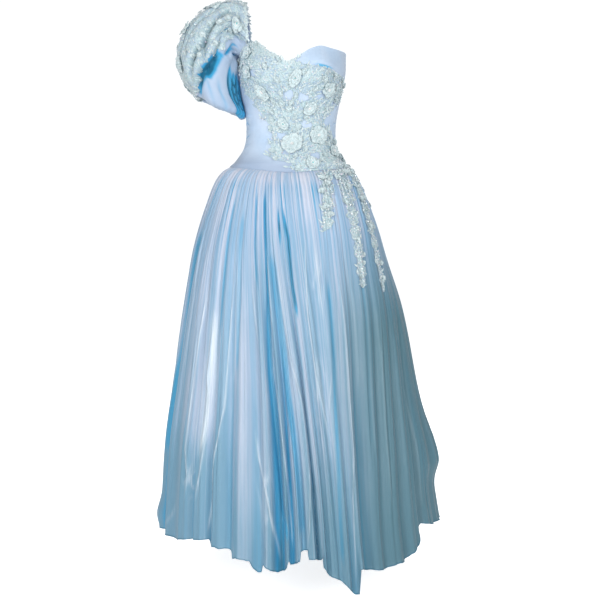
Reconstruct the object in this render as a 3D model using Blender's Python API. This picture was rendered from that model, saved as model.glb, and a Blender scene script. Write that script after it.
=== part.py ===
"""Beaded one-shoulder ball gown, worn shape with nobody in it.

A boned satin bodice, a big satin puff sleeve on the wearer's right shoulder, a long
gathered organza skirt hung from a dropped waist seam, and beaded lace with raised
flowers that runs from the shoulder across the bodice and trails down the left hip.

Metres, +Z up. The origin is the centre of the waist, where the wearer holds the gown
up. The front faces -Y, and +X is the wearer's left.
Tables are written in millimetres and degrees. Angles run round the body from 0 at
centre front, positive towards +X, to 180 at centre back.
"""
import math
from collections import namedtuple

import bmesh
import bpy
import numpy as np

MM = 0.001

# Walls and gaps, in millimetres
SATIN_WALL = 2.0
ORGANZA_WALL = 1.6
LACE_WALL = 1.2
FLOWER_WALL = 1.3
SEAM_GAP = 0.32
LACE_LIFT = 0.55
BODICE_FLOWER_LIFT = 0.4
SLEEVE_FLOWER_LIFT = 0.9

# Bodice, from the dropped waist seam to the top edge
BodiceSection = namedtuple("BodiceSection", "height right_side left_side front back")
BODICE_SECTIONS = [
    BodiceSection(-125, 166, 158, 117, 118),
    BodiceSection(-99, 166, 158, 115, 117),
    BodiceSection(-88, 155, 143, 109, 112),
    BodiceSection(-71, 142, 134, 101, 104),
    BodiceSection(-50, 129, 126, 94, 95),
    BodiceSection(-22, 122, 123, 87, 87),
    BodiceSection(0, 121, 123, 85, 84),
    BodiceSection(27, 122, 125, 88, 84),
    BodiceSection(60, 127, 131, 97, 88),
    BodiceSection(95, 136, 138, 107, 92),
    BodiceSection(130, 141, 146, 113, 94),
    BodiceSection(165, 142, 151, 113, 94),
    BodiceSection(203, 142, 151, 107, 91),
    BodiceSection(232, 136, 148, 100, 88),
]
EdgePoint = namedtuple("EdgePoint", "angle height")
WAIST_SEAM = [
    EdgePoint(-180, -105),
    EdgePoint(-135, -103),
    EdgePoint(-90, -99),
    EdgePoint(-42, -110),
    EdgePoint(0, -121),
    EdgePoint(42, -112),
    EdgePoint(90, -99),
    EdgePoint(135, -103),
    EdgePoint(180, -105),
]
TOP_EDGE = [
    EdgePoint(-180, 178),
    EdgePoint(-160, 190),
    EdgePoint(-144, 211),
    EdgePoint(-129, 226),
    EdgePoint(-114, 205),
    EdgePoint(-100, 192),
    EdgePoint(-90, 190),
    EdgePoint(-78, 192),
    EdgePoint(-66, 203),
    EdgePoint(-51, 230),
    EdgePoint(-38, 224),
    EdgePoint(-21, 195),
    EdgePoint(-12, 181),
    EdgePoint(-3, 167),
    EdgePoint(10, 187),
    EdgePoint(21, 205),
    EdgePoint(32, 213),
    EdgePoint(46, 209),
    EdgePoint(78, 207),
    EdgePoint(110, 201),
    EdgePoint(144, 188),
    EdgePoint(180, 178),
]
BODICE_COLUMNS = 60
BODICE_ROWS = 12
Cup = namedtuple("Cup", "x height push half_width half_height")
CUPS = [
    Cup(-72, 158, 21, 50, 56),
    Cup(72, 158, 21, 50, 56),
]
CUP_SIDE_FADE = 60
Panel = namedtuple("Panel", "name start end")
BODICE_PANELS = [
    Panel("bodice_back_right", -180, -90),
    Panel("bodice_front_side_right", -90, -30),
    Panel("bodice_front_centre", -30, 30),
    Panel("bodice_front_side_left", 30, 90),
    Panel("bodice_back_left", 90, 180),
]

# Skirt, by the drop below the waist seam; sizes are at the outermost ridges
SkirtSection = namedtuple("SkirtSection", "drop right_side left_side front back")
SKIRT_SECTIONS = [
    SkirtSection(0, 166, 158, 116, 117),
    SkirtSection(10, 183, 168, 127, 129),
    SkirtSection(38, 205, 187, 145, 151),
    SkirtSection(104, 232, 216, 172, 188),
    SkirtSection(170, 254, 241, 195, 218),
    SkirtSection(236, 271, 260, 216, 244),
    SkirtSection(385, 296, 307, 254, 292),
    SkirtSection(583, 323, 347, 293, 334),
    SkirtSection(748, 345, 380, 322, 360),
    SkirtSection(896, 353, 402, 350, 376),
    SkirtSection(1060, 356, 430, 376, 384),
]
HEM_LINE = [
    EdgePoint(-180, -1090),
    EdgePoint(-130, -1088),
    EdgePoint(-90, -1084),
    EdgePoint(-62, -1076),
    EdgePoint(-36, -1060),
    EdgePoint(-24, -1082),
    EdgePoint(-11, -1108),
    EdgePoint(-1, -1094),
    EdgePoint(4, -1066),
    EdgePoint(9, -1098),
    EdgePoint(15, -1124),
    EdgePoint(21, -1162),
    EdgePoint(25, -1124),
    EdgePoint(46, -1108),
    EdgePoint(57, -1052),
    EdgePoint(72, -1052),
    EdgePoint(90, -1068),
    EdgePoint(130, -1086),
    EdgePoint(180, -1090),
]
SKIRT_ROWS = (0.0, 0.02, 0.09, 0.21, 0.38, 0.81, 1.0)
Fold = namedtuple("Fold", "seam_angle hem_angle depth start")
FOLDS = [
    Fold(-176, -178, 26, 0.05),
    Fold(-160, -163, 30, 0.10),
    Fold(-145, -148, 24, 0.05),
    Fold(-130, -133, 32, 0.00),
    Fold(-114, -118, 24, 0.12),
    Fold(-98, -104, 30, 0.05),
    Fold(-81, -89, 22, 0.20),
    Fold(-67, -75, 26, 0.05),
    Fold(-59, -61, 18, 0.30),
    Fold(-52, -46, 26, 0.12),
    Fold(-44, -36, 30, 0.05),
    Fold(-35, -26, 24, 0.08),
    Fold(-28, -12, 24, 0.00),
    Fold(-21, -3, 36, 0.00),
    Fold(-17, 1, 22, 0.12),
    Fold(-14, 5, 20, 0.35),
    Fold(-11, 10, 20, 0.00),
    Fold(-3, 13, 10, 0.02),
    Fold(7, 17, 14, 0.02),
    Fold(26, 21, 18, 0.05),
    Fold(38, 27, 24, 0.05),
    Fold(58, 36, 26, 0.03),
    Fold(74, 46, 28, 0.05),
    Fold(84, 58, 40, 0.25),
    Fold(93, 71, 18, 0.20),
    Fold(103, 84, 16, 0.10),
    Fold(113, 98, 28, 0.05),
    Fold(124, 113, 24, 0.12),
    Fold(136, 128, 32, 0.00),
    Fold(148, 142, 24, 0.08),
    Fold(160, 155, 30, 0.05),
    Fold(172, 169, 24, 0.10),
]
COLUMNS_PER_FOLD = 8
GATHERS_PER_FOLD = 2
GATHER_DEPTH = 2.6
GATHER_VARIATION = 0.25
GATHER_VARIATION_TURN = 5.0
GATHER_FADE_START = 0.05
GATHER_FADE_END = 0.4
FOLD_SHARPNESS = 1.6
FOLD_GROWTH_SPAN = 0.75
FOLD_EASED_SHARE = 0.8
SWING_POWER = 1.8
Billow = namedtuple("Billow", "angle drop half_angle above below push")
BILLOWS = [
    Billow(84, 785, 15, 95, 42, 26),
    Billow(-90, 945, 13, 40, 40, 17),
    Billow(21, 1010, 7, 260, 90, 26),
]
SKIRT_PANELS = ("skirt_back_right", "skirt_front_right", "skirt_front_left", "skirt_back_left")

# Puff sleeve: rings from the armhole and neck edge to the turned-in cuff
SleeveRing = namedtuple("SleeveRing", "outer_x outer_z inner_x inner_z half_depth")
SLEEVE_RINGS = [
    SleeveRing(-165, 350, -149, 173, 86),
    SleeveRing(-224, 331, -149, 143, 108),
    SleeveRing(-276, 291, -147, 119, 120),
    SleeveRing(-307, 231, -144, 98, 122),
    SleeveRing(-307, 172, -141, 79, 114),
    SleeveRing(-284, 122, -136, 60, 100),
    SleeveRing(-255, 92, -133, 42, 80),
    SleeveRing(-241, 103, -152, 62, 58),
]
ARMHOLE_FRONT = -54
ARMHOLE_BACK = -126
NeckPoint = namedtuple("NeckPoint", "turn x y z")
NECK_EDGE = [
    NeckPoint(-90, -115, 85, 226),
    NeckPoint(-60, -114, 74, 275),
    NeckPoint(-30, -120, 46, 326),
    NeckPoint(0, -124, 0, 346),
    NeckPoint(30, -122, -44, 328),
    NeckPoint(60, -116, -74, 277),
    NeckPoint(90, -112, -85, 230),
]
SLEEVE_COLUMNS = 36
SLEEVE_ROWS = (0.0, 0.4, 1.0, 2.0, 3.0, 4.0, 5.0, 5.8, 6.5, 7.0, 7.4, 8.0)
EVEN_TURNS_FROM_RING = 2.5
PUCKER_DEPTH = 2.5
PUCKER_COUNT = 9
ARMHOLE_PUCKERS = (0.0, 0.6, 1.2, 3.0)
CUFF_PUCKERS = (5.5, 7.0)
SLEEVE_FOLD_FULLNESS = 0.7
SleeveFold = namedtuple("SleeveFold", "start_ring end_ring start_turn end_turn half_turn depth")
SLEEVE_FOLDS = [
    SleeveFold(0.8, 5.2, 62, 78, 8, 16),
    SleeveFold(2.8, 6.8, 94, 62, 12, 27),
    SleeveFold(1.6, 7.2, 112, 128, 10, 18),
    SleeveFold(0.3, 2.8, 128, 104, 9, 14),
    SleeveFold(2.4, 5.6, 146, 158, 8, 9),
    SleeveFold(1.0, 5.6, -60, -76, 9, 15),
    SleeveFold(2.6, 6.8, -96, -68, 12, 24),
    SleeveFold(1.6, 7.0, -116, -130, 10, 16),
    SleeveFold(1.4, 5.4, 18, 8, 9, 8),
]

# Lace on the bodice: its two side edges at each height
LaceRow = namedtuple("LaceRow", "height right_edge left_edge")
BODICE_LACE = [
    LaceRow(-125, 2, 118),
    LaceRow(-99, 0, 116),
    LaceRow(-86, -20, 110),
    LaceRow(-60, -26, 100),
    LaceRow(-30, -25, 72),
    LaceRow(0, -27, 58),
    LaceRow(30, -38, 52),
    LaceRow(55, -46, 62),
    LaceRow(80, -54, 84),
    LaceRow(110, -64, 88),
    LaceRow(140, -68, 60),
    LaceRow(158, -70, 24),
    LaceRow(175, -70, -2),
    LaceRow(240, -70, -6),
]
LACE_ARMHOLE_MARGIN = 6
BODICE_MEAN_RADIUS = 120
LaceGap = namedtuple("LaceGap", "angle height reach")
BODICE_LACE_GAPS = [
    LaceGap(-2, 82, 13),
    LaceGap(14, 76, 12),
    LaceGap(34, 84, 12),
    LaceGap(20, 6, 13),
    LaceGap(-12, -22, 10),
    LaceGap(52, 20, 14),
    LaceGap(30, -76, 11),
    LaceGap(-4, -70, 10),
    LaceGap(62, 66, 12),
    LaceGap(-40, 140, 9),
]
# Lace on the sleeve: how far it reaches round each ring, to the front and to the back
SleeveLaceRow = namedtuple("SleeveLaceRow", "ring front_turn back_turn")
SLEEVE_LACE = [
    SleeveLaceRow(0.0, 74, -74),
    SleeveLaceRow(1.0, 84, -80),
    SleeveLaceRow(2.0, 90, -84),
    SleeveLaceRow(3.0, 88, -84),
    SleeveLaceRow(4.0, 74, -72),
    SleeveLaceRow(5.0, 66, -66),
    SleeveLaceRow(6.5, 46, -50),
    SleeveLaceRow(7.0, 20, -24),
    SleeveLaceRow(8.0, -1, 1),
]
# Lace trails on the skirt: a centre line that swings and tapers down the cloth
LaceTrail = namedtuple("LaceTrail", "name top_angle end_angle end_drop top_width end_width lift")
LACE_TRAILS = [
    LaceTrail("skirt_lace_front", 41, 28, 156, 42, 28, 0.6),
    LaceTrail("skirt_lace_middle", 58, 47, 305, 44, 22, 1.0),
    LaceTrail("skirt_lace_side", 76, 63, 345, 42, 18, 1.0),
    LaceTrail("skirt_lace_hip", 98, 96, 120, 40, 20, 0.6),
]
LACE_TRAIL_STEP = 38
TRAIL_REACH_COLUMNS = 8

# Raised lace flowers: place on the cloth, reach of the petals, petal count, turn
BodiceFlower = namedtuple("BodiceFlower", "angle height reach petals turn")
BODICE_FLOWERS = [
    BodiceFlower(-49, 196, 20, 5, 10),
    BodiceFlower(-47, 146, 19, 5, 40),
    BodiceFlower(-32, 92, 24, 6, 0),
    BodiceFlower(5, 124, 23, 5, 25),
    BodiceFlower(44, 100, 23, 6, 15),
    BodiceFlower(23, 50, 20, 5, 50),
    BodiceFlower(-9, 8, 17, 5, 5),
    BodiceFlower(2, -45, 32, 6, 20),
    BodiceFlower(37, -20, 29, 6, 45),
    BodiceFlower(22, -97, 19, 5, 30),
    BodiceFlower(63, -60, 20, 5, 60),
    BodiceFlower(92, -78, 18, 5, 15),
]
SleeveFlower = namedtuple("SleeveFlower", "turn ring reach petals twist")
SLEEVE_FLOWERS = [
    SleeveFlower(80, 0.7, 19, 6, 20),
    SleeveFlower(34, 1.7, 21, 5, 0),
    SleeveFlower(26, 3.3, 24, 6, 35),
    SleeveFlower(34, 4.9, 23, 5, 10),
    SleeveFlower(-30, 2.2, 22, 5, 50),
    SleeveFlower(-34, 4.0, 23, 6, 25),
]
POINTS_PER_PETAL = 3
PETAL_DIP = 0.74
SHARP_ANGLE = 40
FLOWER_CUP = 2.8
FLOWER_HEART = 3.4

# Colours, base colour and roughness for each finish
FINISHES = {
    "satin": ((0.50, 0.68, 0.88), 0.34),
    "organza": ((0.40, 0.62, 0.82), 0.30),
    "lace": ((0.66, 0.74, 0.76), 0.62),
    "beads": ((0.74, 0.80, 0.80), 0.25),
}


def clear_scene():
    """Remove every object that the file opened with."""
    for thing in list(bpy.data.objects):
        bpy.data.objects.remove(thing, do_unlink=True)


def smooth_slopes(keys, values):
    """Slopes of a curve through the table that never overshoots a row."""
    steps = np.diff(values) / np.diff(keys)
    slopes = np.zeros(len(keys))
    for i in range(1, len(keys) - 1):
        before, after = steps[i - 1], steps[i]
        if before * after > 0:
            slopes[i] = 2 * before * after / (before + after)
    slopes[0], slopes[-1] = steps[0], steps[-1]
    return slopes


def read_table(table, key, column, at):
    """Smooth value of one column of a table at a key between its rows."""
    keys = np.array([getattr(row, key) for row in table], float)
    values = np.array([getattr(row, column) for row in table], float)
    at = min(max(at, keys[0]), keys[-1])
    i = min(int(np.searchsorted(keys, at, side="right")) - 1, len(keys) - 2)
    span = keys[i + 1] - keys[i]
    s = (at - keys[i]) / span
    slopes = smooth_slopes(keys, values)
    ease_out = (1 + 2 * s) * (1 - s) ** 2 * values[i] + s * (1 - s) ** 2 * span * slopes[i]
    ease_in = s * s * (3 - 2 * s) * values[i + 1] + s * s * (s - 1) * span * slopes[i + 1]
    return ease_out + ease_in


def fade(value, start, end):
    """0 before start, 1 after end, smooth between."""
    s = min(max((value - start) / (end - start), 0.0), 1.0)
    return s * s * (3 - 2 * s)


def wrap(angle):
    """The same angle between -180 and 180."""
    return (angle + 180) % 360 - 180


def oval(table, key, at, angle):
    """Point and outward direction on a section of the body or skirt."""
    sine = math.sin(math.radians(angle))
    cosine = math.cos(math.radians(angle))
    half_width = read_table(table, key, "left_side" if sine > 0 else "right_side", at)
    half_depth = read_table(table, key, "front" if cosine > 0 else "back", at)
    point = np.array([half_width * sine, -half_depth * cosine])
    outward = np.array([half_depth * sine, -half_width * cosine])
    return point, outward / np.linalg.norm(outward)


def seam_height(angle):
    return read_table(WAIST_SEAM, "angle", "height", wrap(angle))


def bodice_point(angle, height):
    """A point on the outside of the bodice, with the two cups pushed out."""
    point, outward = oval(BODICE_SECTIONS, "height", height, angle)
    push = 0.0
    if point[1] < 0:
        for cup in CUPS:
            across = (point[0] - cup.x) / cup.half_width
            up = (height - cup.height) / cup.half_height
            push += cup.push * math.exp(-across ** 2 - up ** 2)
        push *= fade(-point[1], 0, CUP_SIDE_FADE)
    point = point + outward * push
    return np.array([point[0], point[1], height])


def bodice_grid():
    """Outer points of the whole bodice: rows upwards, columns round the body."""
    rows = []
    angles = [-180 + 360 / BODICE_COLUMNS * j for j in range(BODICE_COLUMNS)]
    for i in range(BODICE_ROWS + 1):
        share = i / BODICE_ROWS
        row = []
        for angle in angles:
            low = seam_height(angle)
            high = read_table(TOP_EDGE, "angle", "height", angle)
            row.append(bodice_point(angle, low + (high - low) * share))
        rows.append(row)
    return np.array(rows)


def fold_swing(share):
    """How much of its swing a fold has made at a share of the way down."""
    return 1 - (1 - share) ** SWING_POWER


def fold_angle(fold, share):
    return fold.seam_angle + (fold.hem_angle - fold.seam_angle) * fold_swing(share)


def billow_push(angle, drop):
    """Outward push of the stretches of skirt that billow."""
    push = 0.0
    for billow in BILLOWS:
        across = wrap(angle - billow.angle) / billow.half_angle
        reach = billow.above if drop < billow.drop else billow.below
        push += billow.push * math.exp(-across ** 2 - ((drop - billow.drop) / reach) ** 2)
    return push


def skirt_point(index, part, share):
    """A point on the outside of the skirt.

    index is the fold, part runs 0 to 1 across it from ridge to ridge with the
    valley at a half, and share runs 0 to 1 from the waist seam to the hem.
    """
    count = len(FOLDS)
    fold = FOLDS[index]
    before = fold_angle(FOLDS[index - 1], share)
    after = fold_angle(FOLDS[(index + 1) % count], share)
    valley = fold_angle(fold, share)
    if index == 0:
        before -= 360
    if index == count - 1:
        after += 360
    if part < 0.5:
        ridge = (before + valley) / 2
        angle = ridge + (valley - ridge) * part * 2
    else:
        ridge = (after + valley) / 2
        angle = valley + (ridge - valley) * (part * 2 - 1)
    top = seam_height(angle) - SEAM_GAP
    hem = read_table(HEM_LINE, "angle", "height", wrap(angle))
    height = top + (hem - top) * share
    drop = top - height
    point, outward = oval(SKIRT_SECTIONS, "drop", drop, angle)
    hollow = (0.5 - 0.5 * math.cos(2 * math.pi * part)) ** FOLD_SHARPNESS
    growth = FOLD_EASED_SHARE * fade(share, fold.start, fold.start + FOLD_GROWTH_SPAN)
    growth += (1 - FOLD_EASED_SHARE) * share
    gather = GATHER_DEPTH * math.cos(2 * math.pi * GATHERS_PER_FOLD * part)
    gather *= 1 + GATHER_VARIATION * (math.sin(GATHER_VARIATION_TURN * index) - 1)
    gather *= 1 - fade(share, GATHER_FADE_START, GATHER_FADE_END)
    sink = hollow * growth * fold.depth
    point = point + outward * (gather - sink + billow_push(angle, drop))
    return np.array([point[0], point[1], height])


def skirt_grid():
    """Outer points of the whole skirt: rows downwards, columns round the body."""
    rows = []
    for share in SKIRT_ROWS:
        row = []
        for index in range(len(FOLDS)):
            for step in range(COLUMNS_PER_FOLD):
                row.append(skirt_point(index, step / COLUMNS_PER_FOLD, share))
        rows.append(row)
    return np.array(rows)


def bodice_edge(bodice, angle):
    """A point of the bodice's top edge, read from its own columns."""
    place = (angle + 180) / 360 * BODICE_COLUMNS
    column = int(math.floor(place))
    part = place - column
    top = bodice[-1]
    return top[column] * (1 - part) + top[(column + 1) % BODICE_COLUMNS] * part


def sleeve_start(bodice, turn):
    """The sleeve's first loop: the armhole below, the free neck edge above.

    turn is 0 at the top of the shoulder, 90 at the front, 180 under the arm.
    """
    turn = wrap(turn)
    if abs(turn) <= 90:
        return np.array([read_table(NECK_EDGE, "turn", axis, turn) for axis in "xyz"])
    share = (turn - 90) / 180 if turn > 0 else (turn + 270) / 180
    angle = ARMHOLE_FRONT + (ARMHOLE_BACK - ARMHOLE_FRONT) * share
    point = bodice_edge(bodice, angle)
    outward = np.array([point[0], point[1], 0.0])
    outward /= np.linalg.norm(outward)
    return point + outward * SEAM_GAP + np.array([0, 0, SEAM_GAP])


def sleeve_ring_point(ring, turn):
    """A point of one of the sleeve's rings, before its folds."""
    cosine = math.cos(math.radians(turn))
    sine = math.sin(math.radians(turn))
    middle_x = (ring.outer_x + ring.inner_x) / 2
    middle_z = (ring.outer_z + ring.inner_z) / 2
    x = middle_x + (ring.outer_x - middle_x) * cosine
    z = middle_z + (ring.outer_z - middle_z) * cosine
    return np.array([x, -ring.half_depth * sine, z])


def sleeve_turns(column, place):
    """Turn of a column: even round the puff, and as the armhole's points at its start."""
    even = 90 + 360 / SLEEVE_COLUMNS * column
    armhole_columns = round((ARMHOLE_FRONT - ARMHOLE_BACK) * BODICE_COLUMNS / 360)
    if column <= armhole_columns:
        first = 90 + 180 * column / armhole_columns
    else:
        first = 270 + 180 * (column - armhole_columns) / (SLEEVE_COLUMNS - armhole_columns)
    return first + (even - first) * fade(place, 0, EVEN_TURNS_FROM_RING)


def spline(points, place):
    """Catmull-Rom curve through a list of points."""
    last = len(points) - 1
    i = min(int(place), last - 1)
    s = place - i
    p0, p1 = points[max(i - 1, 0)], points[i]
    p2, p3 = points[i + 1], points[min(i + 2, last)]
    bend = 2 * p0 - 5 * p1 + 4 * p2 - p3
    twist = 3 * p1 - p0 - 3 * p2 + p3
    return 0.5 * (2 * p1 + (p2 - p0) * s + bend * s * s + twist * s ** 3)


def sleeve_fold_depth(turn, place):
    """How far the folds of the sleeve sink below its round form."""
    depth = 0.0
    for fold in SLEEVE_FOLDS:
        along = (place - fold.start_ring) / (fold.end_ring - fold.start_ring)
        if 0 < along < 1:
            centre = fold.start_turn + (fold.end_turn - fold.start_turn) * along
            across = wrap(turn - centre) / fold.half_turn
            fullness = math.sin(math.pi * along) ** SLEEVE_FOLD_FULLNESS
            depth += fold.depth * fullness * math.exp(-across ** 2)
    return depth


def sleeve_grid(bodice):
    """Outer points of the sleeve: rows from the armhole to the cuff, columns round it."""
    smooth = []
    turns = []
    for place in SLEEVE_ROWS:
        row = []
        turn_row = []
        for column in range(SLEEVE_COLUMNS):
            turn = sleeve_turns(column, place)
            rings = [sleeve_start(bodice, sleeve_turns(column, 0))]
            rings += [sleeve_ring_point(ring, turn) for ring in SLEEVE_RINGS]
            row.append(spline(rings, place))
            turn_row.append(turn)
        smooth.append(row)
        turns.append(turn_row)
    smooth = np.array(smooth)
    turns = np.array(turns)
    outward = -grid_normals(smooth, closed=True)
    puckers = PUCKER_DEPTH * np.cos(np.radians(PUCKER_COUNT * turns))
    for i, place in enumerate(SLEEVE_ROWS):
        rise, full, fall, gone = ARMHOLE_PUCKERS
        strength = fade(place, rise, full) * (1 - fade(place, fall, gone)) + fade(place, *CUFF_PUCKERS)
        for j in range(SLEEVE_COLUMNS):
            move = strength * puckers[i, j] - sleeve_fold_depth(turns[i, j], place)
            smooth[i, j] += outward[i, j] * move
    return smooth


def grid_normals(grid, closed):
    """Outward unit directions at the points of a grid of cloth."""
    if closed:
        across = np.roll(grid, -1, axis=1) - np.roll(grid, 1, axis=1)
    else:
        across = np.gradient(grid, axis=1)
    along = np.gradient(grid, axis=0)
    normals = np.cross(across, along)
    return normals / np.linalg.norm(normals, axis=2, keepdims=True)


def inner_grid(outer, normals, thickness):
    """Inside points of a wall; its two ends stay level with the outside."""
    inner = outer - normals * thickness
    for row in (0, -1):
        level = normals[row].copy()
        level[:, 2] = 0
        level /= np.linalg.norm(level, axis=1, keepdims=True)
        inner[row] = outer[row] - level * thickness
    return inner


def finish_material(finish):
    """The shared material of a finish, made once."""
    if finish in bpy.data.materials:
        return bpy.data.materials[finish]
    colour, roughness = FINISHES[finish]
    material = bpy.data.materials.new(finish)
    material.use_nodes = True
    shader = material.node_tree.nodes["Principled BSDF"]
    shader.inputs["Base Color"].default_value = (*colour, 1)
    shader.inputs["Roughness"].default_value = roughness
    shader.inputs["Metallic"].default_value = 0.0
    return material


def add_solid(name, shape, finish):
    """Turn a bmesh in millimetres into a named object with outward faces."""
    bmesh.ops.recalc_face_normals(shape, faces=shape.faces)
    bmesh.ops.scale(shape, vec=(MM, MM, MM), verts=shape.verts)
    mesh = bpy.data.meshes.new(name)
    shape.to_mesh(mesh)
    shape.free()
    mesh.materials.append(finish_material(finish))
    mesh.shade_smooth()
    mesh.set_sharp_from_angle(angle=math.radians(SHARP_ANGLE))
    solid = bpy.data.objects.new(name, mesh)
    bpy.context.scene.collection.objects.link(solid)
    return solid


def keep_single_fans(chosen, cells):
    """Drop triangles until no corner joins two separate patches of cloth."""
    chosen = set(chosen)
    changed = True
    while changed:
        changed = False
        around = {}
        for key in chosen:
            for corner in cells[key]:
                around.setdefault(corner, []).append(key)
        for corner, keys in around.items():
            groups = []
            for key in keys:
                others = set(cells[key]) - {corner}
                joined = [g for g in groups if any(others & set(cells[k]) for k in g)]
                merged = [key]
                for group in joined:
                    merged += group
                    groups.remove(group)
                groups.append(merged)
            if len(groups) > 1:
                groups.sort(key=len)
                chosen -= set(groups[0])
                changed = True
                break
    return chosen


def largest_patch(chosen, cells):
    """The largest set of triangles that hang together by their edges."""
    edges = {}
    for key in chosen:
        a, b, c = cells[key]
        for edge in ((a, b), (b, c), (c, a)):
            edges.setdefault(frozenset(edge), []).append(key)
    left = set(chosen)
    best = set()
    while left:
        patch = set()
        front = [left.pop()]
        while front:
            key = front.pop()
            patch.add(key)
            a, b, c = cells[key]
            for edge in ((a, b), (b, c), (c, a)):
                for other in edges[frozenset(edge)]:
                    if other in left:
                        left.remove(other)
                        front.append(other)
        if len(patch) > len(best):
            best = patch
    return best


def add_wall(name, outer, inner, finish, closed=False, inside=None):
    """Build a closed wall of cloth between two grids of the same size.

    closed joins the last column to the first. inside is a test on the middle of
    each triangle, by row and column, for cloth that is cut to an outline.
    """
    rows, columns = outer.shape[:2]
    cells = {}
    span = columns if closed else columns - 1
    for i in range(rows - 1):
        for j in range(span):
            k = (j + 1) % columns
            cells[(i, j, 0)] = ((i, j), (i, k), (i + 1, k))
            cells[(i, j, 1)] = ((i, j), (i + 1, k), (i + 1, j))
    chosen = set(cells)
    if inside is not None:
        middles = ((1 / 3, 2 / 3), (2 / 3, 1 / 3))
        chosen = {(i, j, half) for i, j, half in cells
                  if inside(i + middles[half][0], j + middles[half][1])}
        chosen = largest_patch(keep_single_fans(chosen, cells), cells)
        chosen = keep_single_fans(chosen, cells)
    shape = bmesh.new()
    front, back = {}, {}
    for key in sorted(chosen):
        for corner in cells[key]:
            if corner not in front:
                front[corner] = shape.verts.new(outer[corner])
                back[corner] = shape.verts.new(inner[corner])
    rim = {}
    for key in sorted(chosen):
        a, b, c = cells[key]
        shape.faces.new((front[a], front[b], front[c]))
        shape.faces.new((back[c], back[b], back[a]))
        for edge in ((a, b), (b, c), (c, a)):
            reverse = (edge[1], edge[0])
            if reverse in rim:
                del rim[reverse]
            else:
                rim[edge] = True
    for a, b in rim:
        shape.faces.new((front[b], front[a], back[a]))
        shape.faces.new((front[b], back[a], back[b]))
    return add_solid(name, shape, finish)


def panel_of(grid, start, end):
    """Columns start to end of a closed grid, pulled in from its seams."""
    columns = grid.shape[1]
    panel = grid[:, [j % columns for j in range(start, end + 1)]].copy()
    for edge, neighbour in ((0, 1), (-1, -2)):
        inward = panel[:, neighbour] - panel[:, edge]
        inward /= np.linalg.norm(inward, axis=1, keepdims=True)
        panel[:, edge] += inward * SEAM_GAP / 2
    return panel


def on_grid(grid, row, column, closed=True):
    """A point on the flat facets of a grid of cloth, by row and column."""
    rows, columns = grid.shape[:2]
    i = min(max(int(math.floor(row)), 0), rows - 2)
    j = int(math.floor(column))
    if not closed:
        j = min(max(j, 0), columns - 2)
    down, over = row - i, column - j
    near = grid[i, j % columns]
    far = grid[i + 1, (j + 1) % columns]
    if over >= down:
        corner = grid[i, (j + 1) % columns]
        return near + (corner - near) * over + (far - corner) * down
    corner = grid[i + 1, j % columns]
    return near + (corner - near) * down + (far - corner) * over


def patch_on(grid, normals, rows, columns, lift, thickness):
    """Outer and inner points of a patch laid on a grid, at given rows and columns."""
    outer, inner = [], []
    for row in rows:
        base = np.array([on_grid(grid, row, column) for column in columns])
        away = np.array([on_grid(normals, row, column) for column in columns])
        away /= np.linalg.norm(away, axis=1, keepdims=True)
        inner.append(base + away * lift)
        outer.append(base + away * (lift + thickness))
    return np.array(outer), np.array(inner)


def make_bodice(bodice, normals):
    """Five boned panels, seamed at the princess lines, the sides and the back."""
    inner = inner_grid(bodice, normals, SATIN_WALL)
    for panel in BODICE_PANELS:
        start = round((panel.start + 180) * BODICE_COLUMNS / 360)
        end = round((panel.end + 180) * BODICE_COLUMNS / 360)
        add_wall(panel.name, panel_of(bodice, start, end), panel_of(inner, start, end), "satin")


def make_skirt(skirt, normals):
    """Four gathered widths of organza, seamed down the bottoms of folds."""
    inner = inner_grid(skirt, normals, ORGANZA_WALL)
    widths = len(SKIRT_PANELS)
    columns = skirt.shape[1] // widths
    valley = COLUMNS_PER_FOLD // 2
    for number, name in enumerate(SKIRT_PANELS):
        start = number * columns + valley
        end = start + columns
        add_wall(name, panel_of(skirt, start, end), panel_of(inner, start, end), "organza")


def make_sleeve(sleeve, normals):
    """The puff, one tube from the armhole and neck edge to the turned-in cuff."""
    inner = sleeve - normals * SATIN_WALL
    add_wall("sleeve_puff", sleeve, inner, "satin", closed=True)


def make_bodice_lace(bodice, normals):
    """The lace across the bodice, cut to its outline and pierced where satin shows."""
    rows = range(BODICE_ROWS + 1)
    columns = range(BODICE_COLUMNS)
    outer, inner = patch_on(bodice, normals, rows, columns, LACE_LIFT, LACE_WALL)

    def inside(row, column):
        angle = column * 360 / BODICE_COLUMNS - 180
        height = on_grid(bodice, row, column)[2]
        right_edge = read_table(BODICE_LACE, "height", "right_edge", height)
        left_edge = read_table(BODICE_LACE, "height", "left_edge", height)
        if not right_edge < angle < left_edge:
            return False
        if angle < ARMHOLE_FRONT + LACE_ARMHOLE_MARGIN and row > BODICE_ROWS - 1:
            return False
        for gap in BODICE_LACE_GAPS:
            arc = math.radians(angle - gap.angle) * BODICE_MEAN_RADIUS
            if math.hypot(arc, height - gap.height) < gap.reach:
                return False
        return True

    add_wall("bodice_lace", outer, inner, "lace", inside=inside)


def make_sleeve_lace(sleeve, normals):
    """The lace over the crown and outer roll of the sleeve."""
    rows = range(len(SLEEVE_ROWS))
    columns = range(SLEEVE_COLUMNS)
    outer, inner = patch_on(sleeve, normals, rows, columns, LACE_LIFT, LACE_WALL)

    def inside(row, column):
        i = min(int(row), len(SLEEVE_ROWS) - 2)
        place = SLEEVE_ROWS[i] + (SLEEVE_ROWS[i + 1] - SLEEVE_ROWS[i]) * (row - i)
        turn = wrap(sleeve_turns(column, place))
        front_turn = read_table(SLEEVE_LACE, "ring", "front_turn", place)
        back_turn = read_table(SLEEVE_LACE, "ring", "back_turn", place)
        return back_turn < turn < front_turn

    add_wall("sleeve_lace", outer, inner, "lace", closed=True, inside=inside)


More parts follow.
